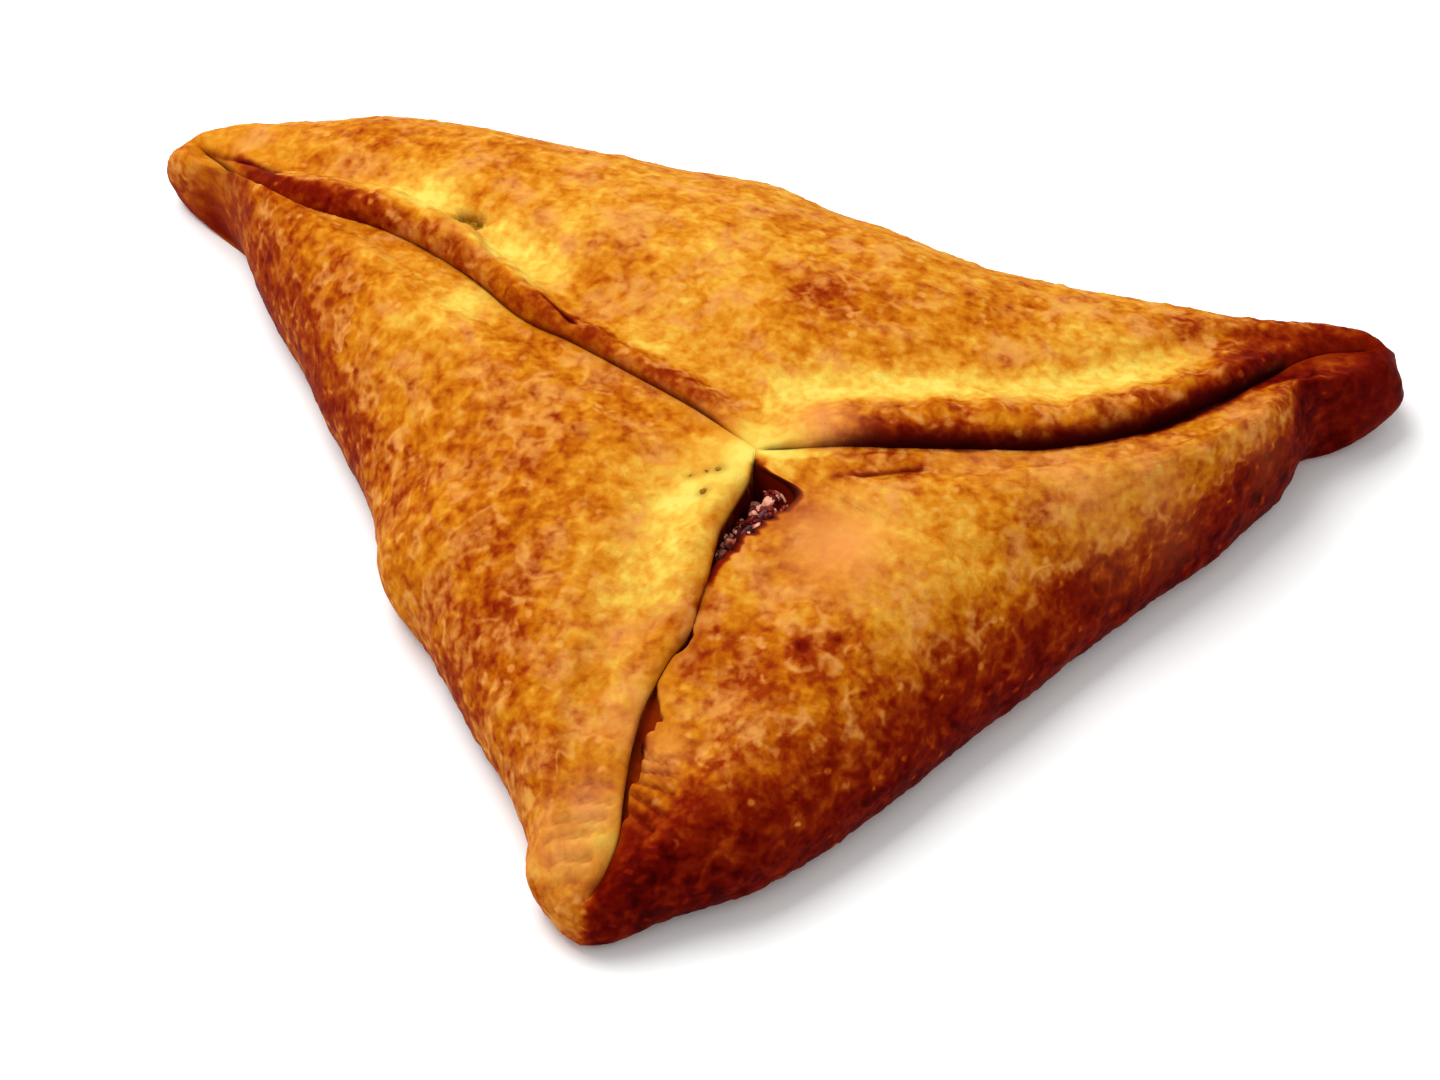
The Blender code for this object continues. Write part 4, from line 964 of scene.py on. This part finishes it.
leaves = {
    # place and size of each flake in mm
    "flecks": [(0.25, -0.6, 0.42), (-0.35, -3.95, 0.46), (-0.9, -0.9, 0.26), (-2.3, -1.6, 0.24)],
    "burst": [(-34.3, 29.7, 0.85), (-33.3, 29.3, 0.95), (-32.6, 28.9, 0.6)],
    "fleckForm": (0.1, 0.3, 0.9), "burstForm": (-0.2, 0.45, 1.5),  # how deep it sits, flatness and crumple
    "flake": (4, 1.6, 2.0),  # subdivisions, then scale and detail of its folds
    "depthShare": 0.7, "rayHeight": 1.0,  # m
    "turns": ((-0.3, -0.3, 0.0), (0.3, 0.3, 6.3)),
    "seed": 5,
    "tones": [(0.3, "#5C3204"), (0.46, "#865606"), (0.60, "#97700A"), (0.75, "#AE8A12")],
    "blend": {"Scale": 1 / (0.7 * mm), "Detail": 2.0},
    "finish": {"Roughness": 0.5, "IOR": 1.4, "Specular IOR Level": 0.06},
}


def wiltedLeaf():
    # Wilted spinach: soft olive green flesh, darker where it is folded, with a damp shine
    material, tree, shader = newMaterial("wilted spinach leaf", leaves["finish"])
    place = addNode(tree, "TexCoord").outputs["Object"]
    blend = addNode(tree, "TexNoise", place, named=leaves["blend"])
    tone = addNode(tree, "ValToRGB", blend)
    setRamp(tone, leaves["tones"])
    tree.links.new(tone.outputs["Color"], shader.inputs["Base Color"])
    return material


def flakesTree():
    # sets a crumpled flake at each point, as big as the point says
    tree, given = newTree("leaf flakes", [("Flatness", "Float"), ("Crumple", "Float"), ("Seed", "Int")])
    flake = crumpled(tree, *leaves["flake"], given["Crumple"])
    size = addNode(tree, "GeometryNodeInputNamedAttribute", "size", data_type="FLOAT")
    shares = (leaves["depthShare"], given["Flatness"])
    placed = strewn(tree, given["Geometry"], flake, size, shares, leaves["turns"], given["Seed"])
    return ended(tree, given, placed)


def makeLeaves(name, places, sink, flatness, crumple):
    # the points lie on the crust, found by a ray from above
    surface = BVHTree.FromObject(baked, bpy.context.evaluated_depsgraph_get())
    points = []
    for x, y, size in places:
        above = Vector(((x - planOrigin[0]) * mm, (y - planOrigin[1]) * mm, leaves["rayHeight"]))
        spot = surface.ray_cast(above, Vector((0, 0, -1)))[0]
        points.append((spot.x, spot.y, spot.z - sink * size * mm))
    mesh = bpy.data.meshes.new(name)
    mesh.from_pydata(points, [], [])
    sizes = [size * mm for x, y, size in places]
    mesh.attributes.new("size", "FLOAT", "POINT").data.foreach_set("value", sizes)
    piece = addPiece(name, mesh)
    applied(piece, flakesTree(), {"Flatness": flatness, "Crumple": crumple, "Seed": leaves["seed"],
                                  "Material": leafMaterial})
    return piece


leafMaterial = wiltedLeaf()
flecks = makeLeaves("spinach_flecks", leaves["flecks"], *leaves["fleckForm"])
burstLeaf = makeLeaves("burst_leaf", leaves["burst"], *leaves["burstForm"])
print("leaves made:", len(flecks.data.polygons) + len(burstLeaf.data.polygons), "faces")


# Floor, light and camera

stageSizes = {
    "floor": 3.0,  # m
    "floorFinish": {"Roughness": 0.9, "Specular IOR Level": 0.1}, "floorColor": "#FCFCFB",
    "world": {"Color": (1, 1, 1, 1), "Strength": 0.76},
    "keyPlace": (-0.28, 0.16, 0.64), "keySize": 0.5, "keyPower": 4.9,
}
viewOf = {
    "target": (0.15, 0.0, 9.0), "distance": 600.0,  # mm
    "azimuth": 15.0, "elevation": 47.0,
    "lens": 154.65, "sensor": 36.0,
}


def makeStage():
    half = stageSizes["floor"] / 2
    mesh = bpy.data.meshes.new("floor")
    corners = [(x * half, y * half, 0) for x, y in ((-1, -1), (1, -1), (1, 1), (-1, 1))]
    mesh.from_pydata(corners, [], [(0, 1, 2, 3)])
    floor = addPiece("floor", mesh)
    material, tree, shader = newMaterial("matt white card", stageSizes["floorFinish"])
    shader.inputs["Base Color"].default_value = linear(stageSizes["floorColor"])
    mesh.materials.append(material)

    world = bpy.data.worlds.new("studio")
    world.use_nodes = True
    for socket, value in stageSizes["world"].items():
        world.node_tree.nodes["Background"].inputs[socket].default_value = value
    bpy.context.scene.world = world

    light = bpy.data.lights.new("key", "AREA")
    light.size = stageSizes["keySize"]
    light.energy = stageSizes["keyPower"]
    key = bpy.data.objects.new("key", light)
    key.location = stageSizes["keyPlace"]
    key.rotation_euler = (-Vector(stageSizes["keyPlace"])).to_track_quat("-Z", "Y").to_euler()
    bpy.context.scene.collection.objects.link(key)


def makeCamera():
    azimuth, elevation = math.radians(viewOf["azimuth"]), math.radians(viewOf["elevation"])
    back = Vector((math.sin(azimuth) * math.cos(elevation), -math.cos(azimuth) * math.cos(elevation),
                   math.sin(elevation)))
    target = Vector(viewOf["target"]) - Vector((*planOrigin, 0.0))
    camera = bpy.data.objects.new("camera", bpy.data.cameras.new("camera"))
    camera.data.lens = viewOf["lens"]
    camera.data.sensor_width = viewOf["sensor"]
    camera.location = (target + back * viewOf["distance"]) * mm
    camera.rotation_euler = back.to_track_quat("Z", "Y").to_euler()
    bpy.context.scene.collection.objects.link(camera)
    bpy.context.scene.camera = camera


makeStage()
makeCamera()
bpy.context.scene.view_settings.view_transform = "Standard"
print("stage ready")

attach(baked, "root")
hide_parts("crust")
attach(spinach, "root")
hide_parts("filling")
for piece in (bits, flecks, burstLeaf):
    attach(piece, "root")
